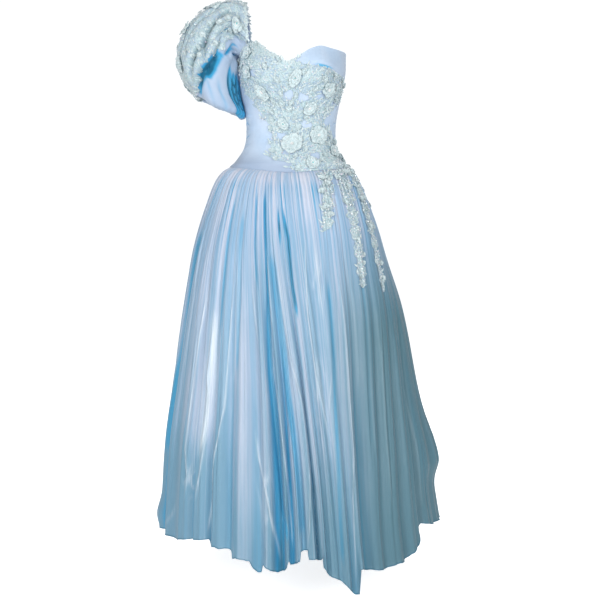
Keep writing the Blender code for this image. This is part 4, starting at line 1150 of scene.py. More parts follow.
def trail_covered(cloth, trail, row, column):
    """True inside a trail: a tapering strip with a leafy edge."""
    rows, middle, share = trail_centres(cloth, trail)
    row = np.asarray(row, float)
    centre = np.interp(row, rows, middle)
    along = np.interp(row, rows, share)
    width = (trail.top_width + (trail.end_width - trail.top_width) * along) / 2
    drop = along * trail.end_drop
    width = width * (1 + 0.24 * np.sin(drop / 7) + 0.14 * np.sin(drop / 3.1))
    gap = np.linalg.norm(cloth.spot(row, column) - cloth.spot(row, centre), axis=-1)
    return (gap < width) & (row >= rows[0] - 0.5) & (row <= rows[-1] + 0.5)


def embroidery(points, seed):
    """Height of the stitched lace ground: cords and pads of thread over net."""
    a = (points[..., 0] + 0.6 * points[..., 1]) / STITCH_SIZE
    b = (points[..., 2] - 0.3 * points[..., 1]) / STITCH_SIZE
    cords = 1 - np.abs(ripple_noise(a, b, seed)) * 3
    pads = ripple_noise(a * 0.7, b * 0.7, seed + 1)
    return np.clip(cords, 0, 1) * 0.8 + np.clip(pads * 1.6, 0, 1) * 0.6


def lace_ground(name, cloth, first, last, step, covered, node, lace):
    """The embroidered net of a lace piece, laid over the cloth and cut to its outline."""
    rows = np.arange(first[0], last[0] + step[0] * 0.5, step[0])
    columns = np.arange(first[1], last[1] + step[1] * 0.5, step[1])
    row, column = np.meshgrid(rows, columns, indexing="ij")
    base = cloth.spot(row, column)
    stitched = embroidery(base, STITCH_SEED)
    points = cloth.spot(row, column, LACE_LIFT + LACE_CLOTH + NET_RISE + STITCH_RISE * stitched)
    keep = covered(cloth, row, column)
    values = {"stitch": stitched, "hollow": cloth.read(cloth.hollow, row, column)}
    mesh = grid_mesh(name, points, cloth.up, values, drop=~keep)
    piece = finish_piece(name, mesh, lace, [node])
    add_wall(piece, LACE_CLOTH)
    return piece


def shape_arrays(shape):
    """Points, faces and rim values of a small shape, which is then used up."""
    shape.verts.ensure_lookup_table()
    shape.verts.index_update()
    points = np.array([vert.co[:] for vert in shape.verts], float)
    faces = [[vert.index for vert in face.verts] for face in shape.faces]
    layer = shape.verts.layers.float.get("rim")
    rims = np.array([vert[layer] if layer else 1.0 for vert in shape.verts], float)
    shape.free()
    return points, faces, rims


def leaf_shape(long, wide, across=4, along=6):
    """A pointed leaf with a sunk vein and a tip that lifts, 1 unit being 1 mm."""
    shape = bmesh.new()
    bmesh.ops.create_grid(shape, x_segments=along, y_segments=across, size=1)
    rim = shape.verts.layers.float.new("rim")
    for vert in shape.verts:
        t, side = (vert.co.x + 1) / 2, vert.co.y
        width = wide / 2 * math.sin(math.pi * min(max(t, 0.02), 0.985)) ** 0.75 * (1.15 - 0.45 * t)
        dome = 1.0 * (1 - side * side) - 0.45 * math.exp(-(side / 0.28) ** 2)
        vert[rim] = max(abs(side) ** 3, 0.9 * math.exp(-(side / 0.2) ** 2))
        vert.co = Vector((long * t, side * width, 0.35 + dome * wide * 0.12 + 0.7 * t * t))
    return shape_arrays(shape)


def petal_grid(reach, width, cup, ruffle, turns, across=8, along=7):
    """Points of one petal that rises from the heart and rolls back at its rim."""
    shape = bmesh.new()
    bmesh.ops.create_grid(shape, x_segments=along, y_segments=across, size=1)
    rim = shape.verts.layers.float.new("rim")
    for vert in shape.verts:
        t, side = (vert.co.x + 1) / 2, vert.co.y
        vert[rim] = max(t ** 5, abs(side) ** 4, 0.5 * math.exp(-(side / 0.16) ** 2))
        half = width / 2 * (0.22 + 0.78 * math.sin(math.pi * 0.5 * min(1, t * 1.25)) ** 0.9)
        half *= 1 - 0.35 * max(0, t - 0.78) / 0.22
        far = reach * (0.10 + 0.90 * t) * (1 - 0.12 * side * side * t)
        lift = cup * math.sin(math.pi * 0.62 * t) + ruffle * t * t * math.sin(side * turns)
        lift += 0.30 * cup * side * side * t - 0.5 * math.exp(-(side / 0.16) ** 2) * t
        vert.co = Vector((far, side * half, lift))
    return shape


def flower_shape(reach, petals, turn, cup=5.0):
    """Two whorls of ruffled petals round a heart."""
    flower = bmesh.new()
    flower.verts.layers.float.new("rim")
    whorls = ((1.0, petals, 0.0, 0.9), (0.64, petals, 180 / petals, 2.2))
    for size, count, shift, lift in whorls:
        for number in range(count):
            petal = petal_grid(reach * size, reach * size * 5.4 / count, cup * (0.75 + 0.25 * size),
                               1.1, 5 + number % 3)
            bmesh.ops.translate(petal, verts=petal.verts, vec=(0, 0, lift))
            spin = math.radians(turn + shift + 360 * number / count + 7 * math.sin(3.1 * number))
            for vert in petal.verts:
                x, y = vert.co.x, vert.co.y
                vert.co.x = x * math.cos(spin) - y * math.sin(spin)
                vert.co.y = x * math.sin(spin) + y * math.cos(spin)
            part = bpy.data.meshes.new("petal")
            petal.to_mesh(part)
            petal.free()
            flower.from_mesh(part)
            bpy.data.meshes.remove(part)
    return shape_arrays(flower)


def in_order(faces):
    """Faces in an order that is the same in every run, each from its lowest point."""
    turned = []
    for face in faces:
        first = face.index(min(face))
        turned.append(face[first:] + face[:first])
    return sorted(turned)


def bead_shape(radius, round_steps=6, rings=4):
    shape = bmesh.new()
    bmesh.ops.create_uvsphere(shape, u_segments=round_steps, v_segments=rings, radius=radius)
    bmesh.ops.translate(shape, verts=shape.verts, vec=(0, 0, radius * 0.8))
    points, faces, rims = shape_arrays(shape)
    return points, in_order(faces), rims


def crystal_shape(radius):
    """A cut stone: a wide girdle under a flat table."""
    shape = bmesh.new()
    bmesh.ops.create_cone(shape, cap_ends=True, segments=8, radius1=radius, radius2=radius * 0.55,
                          depth=radius * 0.9)
    bmesh.ops.translate(shape, verts=shape.verts, vec=(0, 0, radius * 0.45))
    return shape_arrays(shape)


def sequin_shape(radius):
    """A small cupped disc with a hole where it is sewn."""
    shape = bmesh.new()
    bmesh.ops.create_cone(shape, cap_ends=False, segments=9, radius1=radius * 0.25, radius2=radius,
                          depth=radius * 0.35)
    return shape_arrays(shape)


class Stamps:
    """Many small shapes, set on a cloth and gathered into one mesh."""

    def __init__(self):
        self.points, self.faces, self.tints, self.rims, self.count = [], [], [], [], 0

    def add(self, cloth, shape, row, column, turn, size=1.0, lift=0.0, tint=0.5, tilt=0.0):
        """Set a shape at each row and column, turned in degrees and lifted off the cloth."""
        local, faces, rims = shape
        given = (row, column, turn, size, lift, tint, tilt)
        row, column, turn, size, lift, tint, tilt = np.broadcast_arrays(
            *(np.atleast_1d(np.asarray(value, float)) for value in given))
        spin = np.radians(turn)[:, None]
        x, y = local[:, 0] * size[:, None], local[:, 1] * size[:, None]
        z = local[:, 2] * size[:, None] + lift[:, None] + x * np.tan(np.radians(tilt))[:, None]
        across, climb = x * np.cos(spin) - y * np.sin(spin), x * np.sin(spin) + y * np.cos(spin)
        at_row, at_column = cloth.reach(row[:, None], column[:, None], across, climb)
        placed = cloth.spot(at_row, at_column, z).reshape(-1, 3)
        many = len(row)
        starts = self.count + np.arange(many) * len(local)
        for start in starts:
            self.faces.extend([start + i for i in face] for face in faces)
        self.points.append(placed)
        self.tints.append(np.repeat(tint, len(local)))
        self.rims.append(np.tile(rims, many))
        self.count += len(placed)

    def piece(self, name, material, slot, nodes=(), smooth=True):
        mesh = bpy.data.meshes.new(name)
        mesh.from_pydata(np.concatenate(self.points) * MM, [], self.faces)
        set_values(mesh, "tint", np.concatenate(self.tints))
        set_values(mesh, "rim", np.concatenate(self.rims))
        piece = finish_piece(name, mesh, material, nodes)
        if not smooth:
            mesh.shade_flat()
        return piece


def scatter(cloth, covered, rng, count, spacing, rows, columns, avoid=None, tries=12):
    """Seeded places inside a lace outline, at least a spacing apart."""
    row = rng.uniform(rows[0], rows[1], count * tries)
    column = rng.uniform(columns[0], columns[1], count * tries)
    inside = covered(cloth, row, column)
    row, column = row[inside], column[inside]
    points = cloth.spot(row, column)
    kept = []
    held = np.zeros((0, 3)) if avoid is None else avoid
    chosen = np.zeros((count, 3))
    for i, point in enumerate(points):
        near = chosen[:len(kept)]
        if len(kept) and np.min(np.sum((near - point) ** 2, axis=1)) < spacing ** 2:
            continue
        if len(held) and np.min(np.linalg.norm(held[:, :3] - point, axis=1) - held[:, 3]) < 0:
            continue
        chosen[len(kept)] = point
        kept.append(i)
        if len(kept) == count:
            break
    return row[kept], column[kept]


def feed(tree, node, **sockets):
    """Give sockets a value or another node's output; s0 and the like go by number."""
    for key, value in sockets.items():
        socket = node.inputs[int(key[1:]) if key[1:].isdigit() else key.replace("_", " ")]
        if isinstance(value, bpy.types.NodeSocket):
            tree.links.new(value, socket)
        else:
            socket.default_value = value
    return node


def add_node(tree, kind, settings=(), **sockets):
    """A shader node with its settings and sockets."""
    node = tree.nodes.new(kind)
    for key, value in dict(settings).items():
        setattr(node, key, value)
    return feed(tree, node, **sockets)


def mix_colours(tree, factor, first, second, blend="MIX"):
    """A mix of two colours, each a tuple or another node's output."""
    first, second = (colour if isinstance(colour, bpy.types.NodeSocket) else (*colour, 1)
                     for colour in (first, second))
    node = add_node(tree, "ShaderNodeMix", {"data_type": "RGBA", "blend_type": blend},
                    s0=factor, s6=first, s7=second)
    return node.outputs[2]


def maths(tree, operation, first, second=0.0, third=0.0, clamp=False):
    node = add_node(tree, "ShaderNodeMath", {"operation": operation, "use_clamp": clamp},
                    s0=first, s1=second, s2=third)
    return node.outputs[0]


def times(tree, first, second, plus=None, clamp=False):
    """The product of two values, with a third added to it where one is given."""
    if plus is None:
        return maths(tree, "MULTIPLY", first, second, clamp=clamp)
    return maths(tree, "MULTIPLY_ADD", first, second, plus, clamp)


def vary(tree, value, mask, amount):
    """A value moved up and down by a mask round its middle."""
    return times(tree, maths(tree, "SUBTRACT", mask, 0.5), amount, value)


def remap(tree, value, low, high, to_low=0.0, to_high=1.0):
    """A value carried smoothly from one span to another."""
    node = add_node(tree, "ShaderNodeMapRange", {"interpolation_type": "SMOOTHSTEP"}, Value=value,
                    From_Min=low, From_Max=high, To_Min=to_low, To_Max=to_high)
    return node.outputs["Result"]


def noise(tree, place, scale, detail=2.0):
    node = add_node(tree, "ShaderNodeTexNoise", Vector=place, Scale=scale, Detail=detail)
    return node.outputs["Fac"]


def named_value(tree, name):
    return add_node(tree, "ShaderNodeAttribute", {"attribute_name": name}).outputs["Fac"]


def cloth_place(tree):
    return add_node(tree, "ShaderNodeUVMap", {"uv_map": "cloth"}).outputs["UV"]


def object_place(tree):
    return add_node(tree, "ShaderNodeTexCoord").outputs["Object"]


def camera_ray(tree):
    return add_node(tree, "ShaderNodeLightPath").outputs["Is Camera Ray"]


def new_group(name, inputs, output):
    """A shader group with a place, named float inputs and one float output."""
    group = bpy.data.node_groups.new(name, "ShaderNodeTree")
    group.interface.new_socket("Place", in_out="INPUT", socket_type="NodeSocketVector")
    for key, value in inputs.items():
        socket = group.interface.new_socket(key, in_out="INPUT", socket_type="NodeSocketFloat")
        socket.default_value = value
    group.interface.new_socket(output, in_out="OUTPUT", socket_type="NodeSocketFloat")
    given = group.nodes.new("NodeGroupInput").outputs
    return group, given, group.nodes.new("NodeGroupOutput").inputs


def streak_group():
    """Long soft streaks that run down the cloth, as a mask."""
    group, given, out = new_group("Cloth streaks", {"Across": 160.0, "Along": 3.0}, "Streak")
    stretch = add_node(group, "ShaderNodeCombineXYZ", X=given["Across"], Y=given["Along"], Z=1.0)
    place = add_node(group, "ShaderNodeVectorMath", {"operation": "MULTIPLY"}, s0=given["Place"],
                     s1=stretch.outputs[0])
    streaks = add_node(group, "ShaderNodeTexNoise", Vector=place.outputs[0], Scale=1.0, Detail=3.0,
                       Roughness=0.55, Distortion=0.2)
    group.links.new(remap(group, streaks.outputs["Fac"], 0.32, 0.68), out["Streak"])
    return group


def weave_group():
    """Fine crossed threads, as a height between 0 and 1."""
    group, given, out = new_group("Fine weave", {"Threads": 900.0, "Slub": 0.4}, "Height")
    split = add_node(group, "ShaderNodeSeparateXYZ", Vector=given["Place"])
    woven = 0.5
    for axis in (0, 1):
        turns = times(group, split.outputs[axis], given["Threads"])
        wave = maths(group, "SINE", times(group, turns, FULL_TURN))
        woven = times(group, wave, 0.25, woven)
    slub = noise(group, given["Place"], 220.0)
    mixed = add_node(group, "ShaderNodeMix", s0=given["Slub"], s2=woven, s3=slub)
    group.links.new(mixed.outputs[0], out["Height"])
    return group


def use_group(tree, group, place, **values):
    node = add_node(tree, "ShaderNodeGroup", {"node_tree": group}, Place=place, **values)
    return node.outputs[0]


def new_material(name):
    material = bpy.data.materials.new(name)
    material.use_nodes = True
    tree = material.node_tree
    return material, tree, tree.nodes["Principled BSDF"]


def relief(tree, shader, height, distance, strength):
    """Raise the surface a little where height is high."""
    raised = add_node(tree, "ShaderNodeBump", Height=height, Distance=distance, Strength=strength)
    feed(tree, shader, Normal=raised.outputs["Normal"])


def satin_material(colours, groups):
    """Ice-blue satin: smooth sheen, fine warp streaks, painted shade of deeper blue in its folds.
    """
    material, tree, shader = new_material("Ice-blue satin")
    place = cloth_place(tree)
    streak = use_group(tree, groups["streaks"], place, Across=420.0, Along=14.0)
    cloud = noise(tree, place, 9.0)
    clouded = remap(tree, cloud, 0.35, 0.65)
    base = mix_colours(tree, clouded, colours.satin_light, colours.satin_mid)
    base = mix_colours(tree, times(tree, streak, 0.18), base, SATIN_STREAK)
    hollow = named_value(tree, "hollow")
    # Painted shade: azure on the way into the folds, deep blue further in
    base = mix_colours(tree, remap(tree, hollow, 0.15, 0.5), base, colours.satin_azure)
    base = mix_colours(tree, remap(tree, hollow, 0.55, 0.95), base, colours.satin_deep)
    # Painted shade: the satin dimmed on the bodice above the waist seam and over the whole sleeve
    base = mix_colours(tree, named_value(tree, "dusk"), base, colours.satin_painted_shade, "MULTIPLY")
    feed(tree, shader, Base_Color=base, Roughness=remap(tree, cloud, 0.3, 0.7, 0.42, 0.54),
         Specular_IOR_Level=0.4, Sheen_Weight=0.25, Sheen_Roughness=0.4, Anisotropic=0.35)
    weave = use_group(tree, groups["weave"], place, Threads=1400.0, Slub=0.5)
    relief(tree, shader, times(tree, streak, 0.6, weave), 0.00016, 0.55)
    return material


def organza_colour(tree, colours, streaks, masks):
    """Lavender ridges, hollows of deep shot colour and painted shade, painted crease lines, painted
    shade and white painted glints.
    """
    hollow, glint, share, tint, dusk = masks
    streak, band, fine, lines, cloud, calm = streaks
    tint = vary(tree, tint, cloud, 1.2)
    tint = vary(tree, tint, streak, times(tree, calm, 0.9))
    tint = vary(tree, tint, band, 0.6)
    pale = remap(tree, tint, -1.0, 1.0)
    base = mix_colours(tree, pale, colours.organza_mid, colours.organza_ridge)
    waist = maths(tree, "SUBTRACT", 1.0, remap(tree, share, 0.0, 0.2))
    waist = times(tree, waist, times(tree, pale, 0.5, 0.25))
    base = mix_colours(tree, waist, base, colours.organza_waist)
    low = times(tree, remap(tree, share, 0.06, 0.92), times(tree, pale, -0.7, 1.05))
    low = times(tree, remap(tree, share, 0.68, 1.0), 0.4, low, clamp=True)
    base = mix_colours(tree, low, base, colours.organza_hem)
    # Painted highlights along fine crease lines, in the paler waist colour
    bright = times(tree, remap(tree, lines, 0.04, 0.16, 1.0, 0.0), times(tree, calm, 0.4))
    base = mix_colours(tree, bright, base, colours.organza_waist)
    # Azure and teal in the hollows: partly the organza's deep shot colour, partly painted shade
    uneven = vary(tree, hollow, streak, 0.16)
    base = mix_colours(tree, remap(tree, uneven, 0.10, 0.75), base, colours.organza_azure)
    base = mix_colours(tree, remap(tree, uneven, 0.78, 1.1), base, colours.organza_deep)
    # Painted shade along fine crease lines
    dark = times(tree, remap(tree, lines, 0.82, 0.95), times(tree, calm, 0.38))
    base = mix_colours(tree, dark, base, colours.organza_crease_shade)
    # Painted shade: grey teal over the shaded stretches of the skirt
    dimmed = times(tree, dusk, times(tree, tint, -0.055, 0.93))
    base = mix_colours(tree, dimmed, base, colours.organza_painted_shade)
    # Painted highlights along the creases, weaker in the painted shade
    shine = times(tree, times(tree, dusk, -0.35, 0.6), times(tree, fine, 0.6, 0.5))
    base = mix_colours(tree, times(tree, glint, shine), base, ORGANZA_PAINTED_GLINT)
    edge = times(tree, remap(tree, share, 0.9945, 0.998), 0.55)
    return mix_colours(tree, edge, base, colours.organza_deep)


def organza_material(colours, groups):
    """Shot organza, with streaks and creases that calm down towards the hem."""
    material, tree, shader = new_material("Shot blue organza")
    place = cloth_place(tree)
    streak, band, fine, lines = (
        use_group(tree, groups["streaks"], place, Across=across, Along=along)
        for across, along in ORGANZA_STREAKS)
    cloud = noise(tree, place, 4.0, 3.0)
    masks = [named_value(tree, key) for key in ("hollow", "glint", "share", "tint", "dusk")]
    glint, share = masks[1:3]
    calm = remap(tree, share, 0.25, 0.8, 1.0, 0.45)
    base = organza_colour(tree, colours, (streak, band, fine, lines, cloud, calm), masks)
    rough = times(tree, glint, -0.14, remap(tree, fine, 0.2, 0.8, 0.30, 0.42))
    feed(tree, shader, Base_Color=base, Roughness=rough, Specular_IOR_Level=0.55,
         Sheen_Weight=0.3, Sheen_Roughness=0.35, Anisotropic=0.5)
    weave = use_group(tree, groups["weave"], place, Threads=1100.0, Slub=0.35)
    moire = add_node(tree, "ShaderNodeTexWave", {"bands_direction": "Y"}, Vector=place,
                     Scale=120.0, Distortion=2.5, Detail=1.0).outputs["Fac"]
    height = times(tree, fine, 0.8, weave)
    height = times(tree, streak, times(tree, calm, 1.2), height)
    relief(tree, shader, times(tree, moire, 0.2, height), 0.0003, 0.6)
    return material


def speckle(tree, base, place, dark):
    """Small dark gaps between the threads."""
    gaps = remap(tree, noise(tree, place, 310.0, 1.0), 0.56, 0.68)
    return mix_colours(tree, times(tree, gaps, 0.45), base, dark)


def lace_material(colours, groups):
    """Embroidered net: pale grey-green thread over holes that show the satin."""
    material, tree, shader = new_material("Embroidered lace")
    place = cloth_place(tree)
    holes = add_node(tree, "ShaderNodeTexVoronoi", {"feature": "DISTANCE_TO_EDGE"}, Vector=place,
                     Scale=520.0).outputs["Distance"]
    net = remap(tree, holes, 0.05, 0.16, 1.0, 0.0)
    stitch = remap(tree, named_value(tree, "stitch"), 0.12, 0.5)
    solid = maths(tree, "MAXIMUM", net, stitch)
    thread = noise(tree, place, 260.0)
    shaded = remap(tree, thread, 0.35, 0.65)
    pale = mix_colours(tree, shaded, colours.lace_thread, colours.lace_shade)
    base = mix_colours(tree, solid, colours.satin_mid, pale)
    base = speckle(tree, base, place, colours.lace_fold)
    # Painted shade where the lace lies in a fold of the cloth
    sunk = times(tree, named_value(tree, "hollow"), 0.75, clamp=True)
    base = mix_colours(tree, sunk, base, colours.lace_fold)
    feed(tree, shader, Base_Color=base, Roughness=remap(tree, thread, 0.3, 0.7, 0.5, 0.68),
         Sheen_Weight=0.3)
    relief(tree, shader, times(tree, thread, 0.6, solid), 0.0004, 0.8)
    return material


def petal_material(colours, groups):
    """Petals and leaves of satin stitch, each a little different."""
    material, tree, shader = new_material("Embroidered petals")
    place = object_place(tree)
    thread = noise(tree, place, 700.0)
    tint, rim = named_value(tree, "tint"), named_value(tree, "rim")
    lift = times(tree, rim, 0.34, times(tree, tint, 0.28))
    base = mix_colours(tree, lift, colours.lace_thread, colours.lace_pearl)
    inner = times(tree, maths(tree, "SUBTRACT", 1.0, rim), remap(tree, thread, 0.35, 0.7))
    base = mix_colours(tree, times(tree, inner, 0.6), base, colours.lace_shade)
    base = speckle(tree, base, place, colours.lace_fold)
    feed(tree, shader, Base_Color=base, Roughness=remap(tree, thread, 0.3, 0.7, 0.38, 0.58),
         Sheen_Weight=0.35)
    relief(tree, shader, thread, 0.0003, 0.7)
    return material


def bead_material(name, stops, roughness, metallic=0.0, coat=0.6):
    """Pearls, sequins or stones, in a few colours that change from bead to bead."""
    material, tree, shader = new_material(name)
    ramp = tree.nodes.new("ShaderNodeValToRGB")
    ramp.color_ramp.interpolation = "CONSTANT"
    elements = ramp.color_ramp.elements
    while len(elements) < len(stops):
        elements.new(0.5)
    for element, (position, _) in zip(elements, stops):
        element.position = position
    for element, (_, colour) in zip(elements, stops):
        element.color = (*colour, 1)
    feed(tree, ramp, Fac=named_value(tree, "tint"))
    cloud = noise(tree, object_place(tree), 900.0)
    # Painted shimmer: paler patches over each bead
    painted_shimmer = times(tree, remap(tree, cloud, 0.35, 0.7), 0.35)
    base = mix_colours(tree, painted_shimmer, ramp.outputs["Color"], BEAD_PAINTED_SHIMMER)
    rough = remap(tree, cloud, 0.3, 0.7, roughness, roughness + 0.12)
    feed(tree, shader, Base_Color=base, Roughness=rough, Metallic=metallic, Coat_Weight=coat,
         Coat_Roughness=0.06)
    return material


def stage_material(name, colour, glow):
    """Matt pale floor that looks as bright as the studio round it."""
    material, tree, shader = new_material(name)
    patches = add_node(tree, "ShaderNodeTexNoise", Scale=3.0).outputs["Fac"]
    darker = [value * 0.99 for value in colour]
    base = mix_colours(tree, remap(tree, patches, 0.3, 0.7), colour, darker)
    feed(tree, shader, Base_Color=base, Roughness=0.9, Emission_Color=(1.0, 1.0, 1.0, 1.0),
         Emission_Strength=times(tree, camera_ray(tree), glow))
    return material


def colour(name, description, *value):
    """A colour setting."""
    return FloatVectorProperty(name=name, description=description, subtype="COLOR", default=value,
                               min=0, max=1)


def length(name, description, value, low, high):
    """A setting in metres."""
    return FloatProperty(name=name, description=description, unit="LENGTH", default=value,
                         min=low, max=high)


class GownSettings(bpy.types.PropertyGroup):
    """Colours and sizes that change the look of the gown."""

    satin_light: colour("Satin", "Colour of the smooth satin", 0.58, 0.70, 0.86)
    satin_mid: colour("Satin shade", "Colour of the satin where it clouds over", 0.49, 0.64, 0.83)
    # Painted shade deep in the folds
    satin_deep: colour(
        "Satin folds", "Colour deep in the folds of the sleeve", 0.015, 0.20, 0.34)
    # Painted shade: what the satin's colour is dimmed by where it is shaded
    satin_painted_shade: colour("Satin in shade", "What the satin's colour is dimmed by", 0.46, 0.50, 0.58)
    # Painted shade on the way into the folds
    satin_azure: colour(
        "Satin in shallow folds", "Strong azure on the way into the folds", 0.06, 0.46, 0.78)
    organza_ridge: colour(
        "Organza ridges", "Colour along the tops of the folds", 0.54, 0.61, 0.77)
    organza_mid: colour("Organza", "Colour on the sides of the folds", 0.27, 0.47, 0.68)
    # Deep shot colour and painted shade in the hollows of the folds
    organza_azure: colour(
        "Organza hollows", "Colour in the hollows of the folds", 0.05, 0.36, 0.62)
    # Mostly painted shade in the deepest folds; also laid along the very edge of the hem
    organza_deep: colour("Organza deep hollows", "Colour in the deepest folds", 0.01, 0.13, 0.22)
    organza_waist: colour(
        "Organza at the waist", "Paler colour of the gathers", 0.70, 0.72, 0.82)
    # Painted shade along the fine creases
    organza_crease_shade: colour("Organza creases", "Colour along the fine creases", 0.08, 0.27, 0.46)
    # Painted shade: grey teal over the shaded stretches of the skirt
    organza_painted_shade: colour(
        "Organza on one layer", "Grey teal where fewer layers lie below", 0.085, 0.20, 0.255)
    organza_hem: colour(
        "Organza at the hem", "Greener colour towards the hem", 0.17, 0.35, 0.49)
    lace_thread: colour("Lace thread", "Colour of the embroidery", 0.61, 0.74, 0.77)
    lace_shade: colour("Lace shade", "Greyer colour between the threads", 0.43, 0.59, 0.65)
    lace_pearl: colour("Lace highlight", "Palest petals and leaves", 0.84, 0.89, 0.88)
    # Painted shade of lace in folds, also the colour of the small gaps between threads
    lace_fold: colour(
        "Lace in folds", "Grey teal where the lace sinks into a fold", 0.13, 0.25, 0.28)
    leaf_length: length("Leaf length", "Length of an embroidered leaf", 0.0125, 0.004, 0.03)
    bead_radius: length(
        "Seed bead radius", "Radius of the small beads", 0.00105, 0.0005, 0.003)
    bodice_beads: IntProperty(
        name="Bodice beads", description="How many small beads the bodice lace carries",
        default=1500, min=0, max=4000)
    floor_drop: length("Floor below hem", "How far the floor lies below the hem", 0.05, 0.0, 0.5)


class Shared:
    """Cloths, materials and places that more than one operator uses."""

    cloths = {}
    materials = {}
    hearts = []


def settings():
    """The settings of the gown in this scene."""
    return bpy.context.scene.gown


class GOWN_OT_cloths(bpy.types.Operator):
    """Work out the fine cloths and make the materials"""

    bl_idname = "gown.cloths"
    bl_label = "Prepare cloths and materials"

    def execute(self, context):
        Shared.cloths = {
            "bodice": bodice_cloth(), "skirt": skirt_cloth(), "sleeve": sleeve_cloth()}
        groups = {"streaks": streak_group(), "weave": weave_group()}
        colours = settings()
        Shared.materials = {
            "satin": satin_material(colours, groups),
            "organza": organza_material(colours, groups),
            "lace": lace_material(colours, groups),
            "petals": petal_material(colours, groups),
            "seeds": bead_material("Seed beads", SEED_COLOURS, 0.14, 0.25),
            "pearls": bead_material("Pearls", PEARL_COLOURS, 0.18),
            "crystals": bead_material("Crystals", CRYSTAL_COLOURS, 0.05, 0.1, 1.0),
        }
        return {"FINISHED"}


class GOWN_OT_bodice(bpy.types.Operator):
    """Build the five satin panels of the bodice"""

    bl_idname = "gown.bodice"
    bl_label = "Satin bodice"

    def execute(self, context):
        make_bodice(Shared.cloths["bodice"], Shared.materials["satin"])
        return {"FINISHED"}


class GOWN_OT_skirt(bpy.types.Operator):
    """Build the four gathered widths of the organza skirt"""

    bl_idname = "gown.skirt"
    bl_label = "Organza skirt"

    def execute(self, context):
        make_skirt(Shared.cloths["skirt"], Shared.materials["organza"])
        return {"FINISHED"}


class GOWN_OT_sleeve(bpy.types.Operator):
    """Build the satin puff sleeve"""

    bl_idname = "gown.sleeve"
    bl_label = "Puff sleeve"

    def execute(self, context):
        make_sleeve(Shared.cloths["sleeve"], Shared.materials["satin"])
        return {"FINISHED"}


def shared_cloths():
    """The fine cloths of the bodice, the skirt and the sleeve."""
    return (Shared.cloths[key] for key in ("bodice", "skirt", "sleeve"))


def trail_test(trail):
    """A test for places inside one trail."""
    return lambda cloth, row, column: trail_covered(cloth, trail, row, column)


def trail_columns(cloth, trail):
    """Rows of a trail, with the first and last column that it can reach."""
    rows, middle, _ = trail_centres(cloth, trail)
    return rows, math.floor(middle.min()) - TRAIL_MARGIN, math.ceil(middle.max()) + TRAIL_MARGIN


def bodice_lace_columns(bodice):
    """First and last column that the lace of the bodice can reach."""
    return tuple(angle * bodice.columns / 360 for angle in BODICE_LACE_SPAN)


class GOWN_OT_lace(bpy.types.Operator):
    """Lay the embroidered lace over the bodice, the sleeve and the left hip"""

    bl_idname = "gown.lace"
    bl_label = "Lace"

    def execute(self, context):
        lace = Shared.materials["lace"]
        bodice, skirt, sleeve = shared_cloths()
        low, high = bodice_lace_columns(bodice)
        lace_ground("bodice_lace_net", bodice, (0, low), (bodice.rows - 1, high),
                    (0.55, 0.8), bodice_covered, "bodice_lace",
                    lace)
        last = (sleeve.rows - 1, sleeve.columns - 1)
        lace_ground("sleeve_lace_net", sleeve, (0, 0), last, (0.8, 0.8), sleeve_covered,
                    "sleeve_lace", lace)
        for trail in LACE_TRAILS:
            rows, low, high = trail_columns(skirt, trail)
            lace_ground(trail.name + "_net", skirt, (rows[0], low), (rows[-1], high), (0.25, 0.4),
                        trail_test(trail), trail.name, lace)
        return {"FINISHED"}


def flower_places():
    """Where each raised flower sits: its cloth, row, column and sizes."""
    bodice, sleeve = Shared.cloths["bodice"], Shared.cloths["sleeve"]
    found = []
    for number, flower in enumerate(BODICE_FLOWERS, 1):
        low = float(seam_height(flower.angle))
        high = float(read_table(TOP_EDGE, "angle", "height", flower.angle))
        row = (flower.height - low) / (high - low) * (bodice.rows - 1)
        column = (flower.angle + 180) * bodice.columns / 360
        found.append((f"bodice_flower_{number}", bodice, row, column, flower.reach,
                      flower.petals, flower.turn))
    for number, flower in enumerate(SLEEVE_FLOWERS, 1):
        row = flower.ring / len(SLEEVE_RINGS) * (sleeve.rows - 1)
        turns = wrap(sleeve.turn[int(round(row))] - flower.turn)
        column = float(np.argmin(np.abs(turns)))
        found.append((f"sleeve_flower_{number}", sleeve, row, column, flower.reach,
                      flower.petals, flower.twist))
    return found


class GOWN_OT_flowers(bpy.types.Operator):
    """Set the raised lace flowers, each over its place on the lace"""

    bl_idname = "gown.flowers"
    bl_label = "Raised flowers"

    def execute(self, context):
        hearts = []
        for name, cloth, row, column, reach, petals, turn in flower_places():
            stamps = Stamps()
            shape = flower_shape(reach * FLOWER_SIZE, petals, 0)
            stamps.add(cloth, shape, row, column, turn, lift=LACE_LIFT + FLOWER_LIFT, tint=0.3)
            piece = stamps.piece(name + "_petals", Shared.materials["petals"], "beads", [name])
            add_wall(piece, PETAL_CLOTH)
            hearts.append((cloth, row, column, reach))
        Shared.hearts = hearts
        return {"FINISHED"}


def avoid_hearts(cloth, share):
    """Middles of the raised flowers on a cloth with the reach to keep clear."""
    kept = [[*cloth.spot(row, column), reach * share] for owner, row, column, reach in Shared.hearts
            if owner is cloth]
    return np.array(kept) if kept else np.zeros((0, 4))


def lace_fields():
    """Each lace area with how many leaves, small flowers and beads it carries."""
    bodice, skirt, sleeve = shared_cloths()
    fields = [
        (bodice, bodice_covered, (0, bodice.rows - 1), bodice_lace_columns(bodice), *BODICE_LOAD,
         settings().bodice_beads),
        (sleeve, sleeve_covered, (0, sleeve.rows - 1), (0, sleeve.columns), *SLEEVE_LOAD),
    ]
    for trail, beads in zip(LACE_TRAILS, TRAIL_BEADS):
        rows, low, high = trail_columns(skirt, trail)
        leaves = round(trail.end_drop * TRAIL_LEAVES)
        fields.append((skirt, trail_test(trail), (rows[0], rows[-1]), (low, high), leaves,
                       round(trail.end_drop / TRAIL_FLOWER_STEP), beads))
    return fields


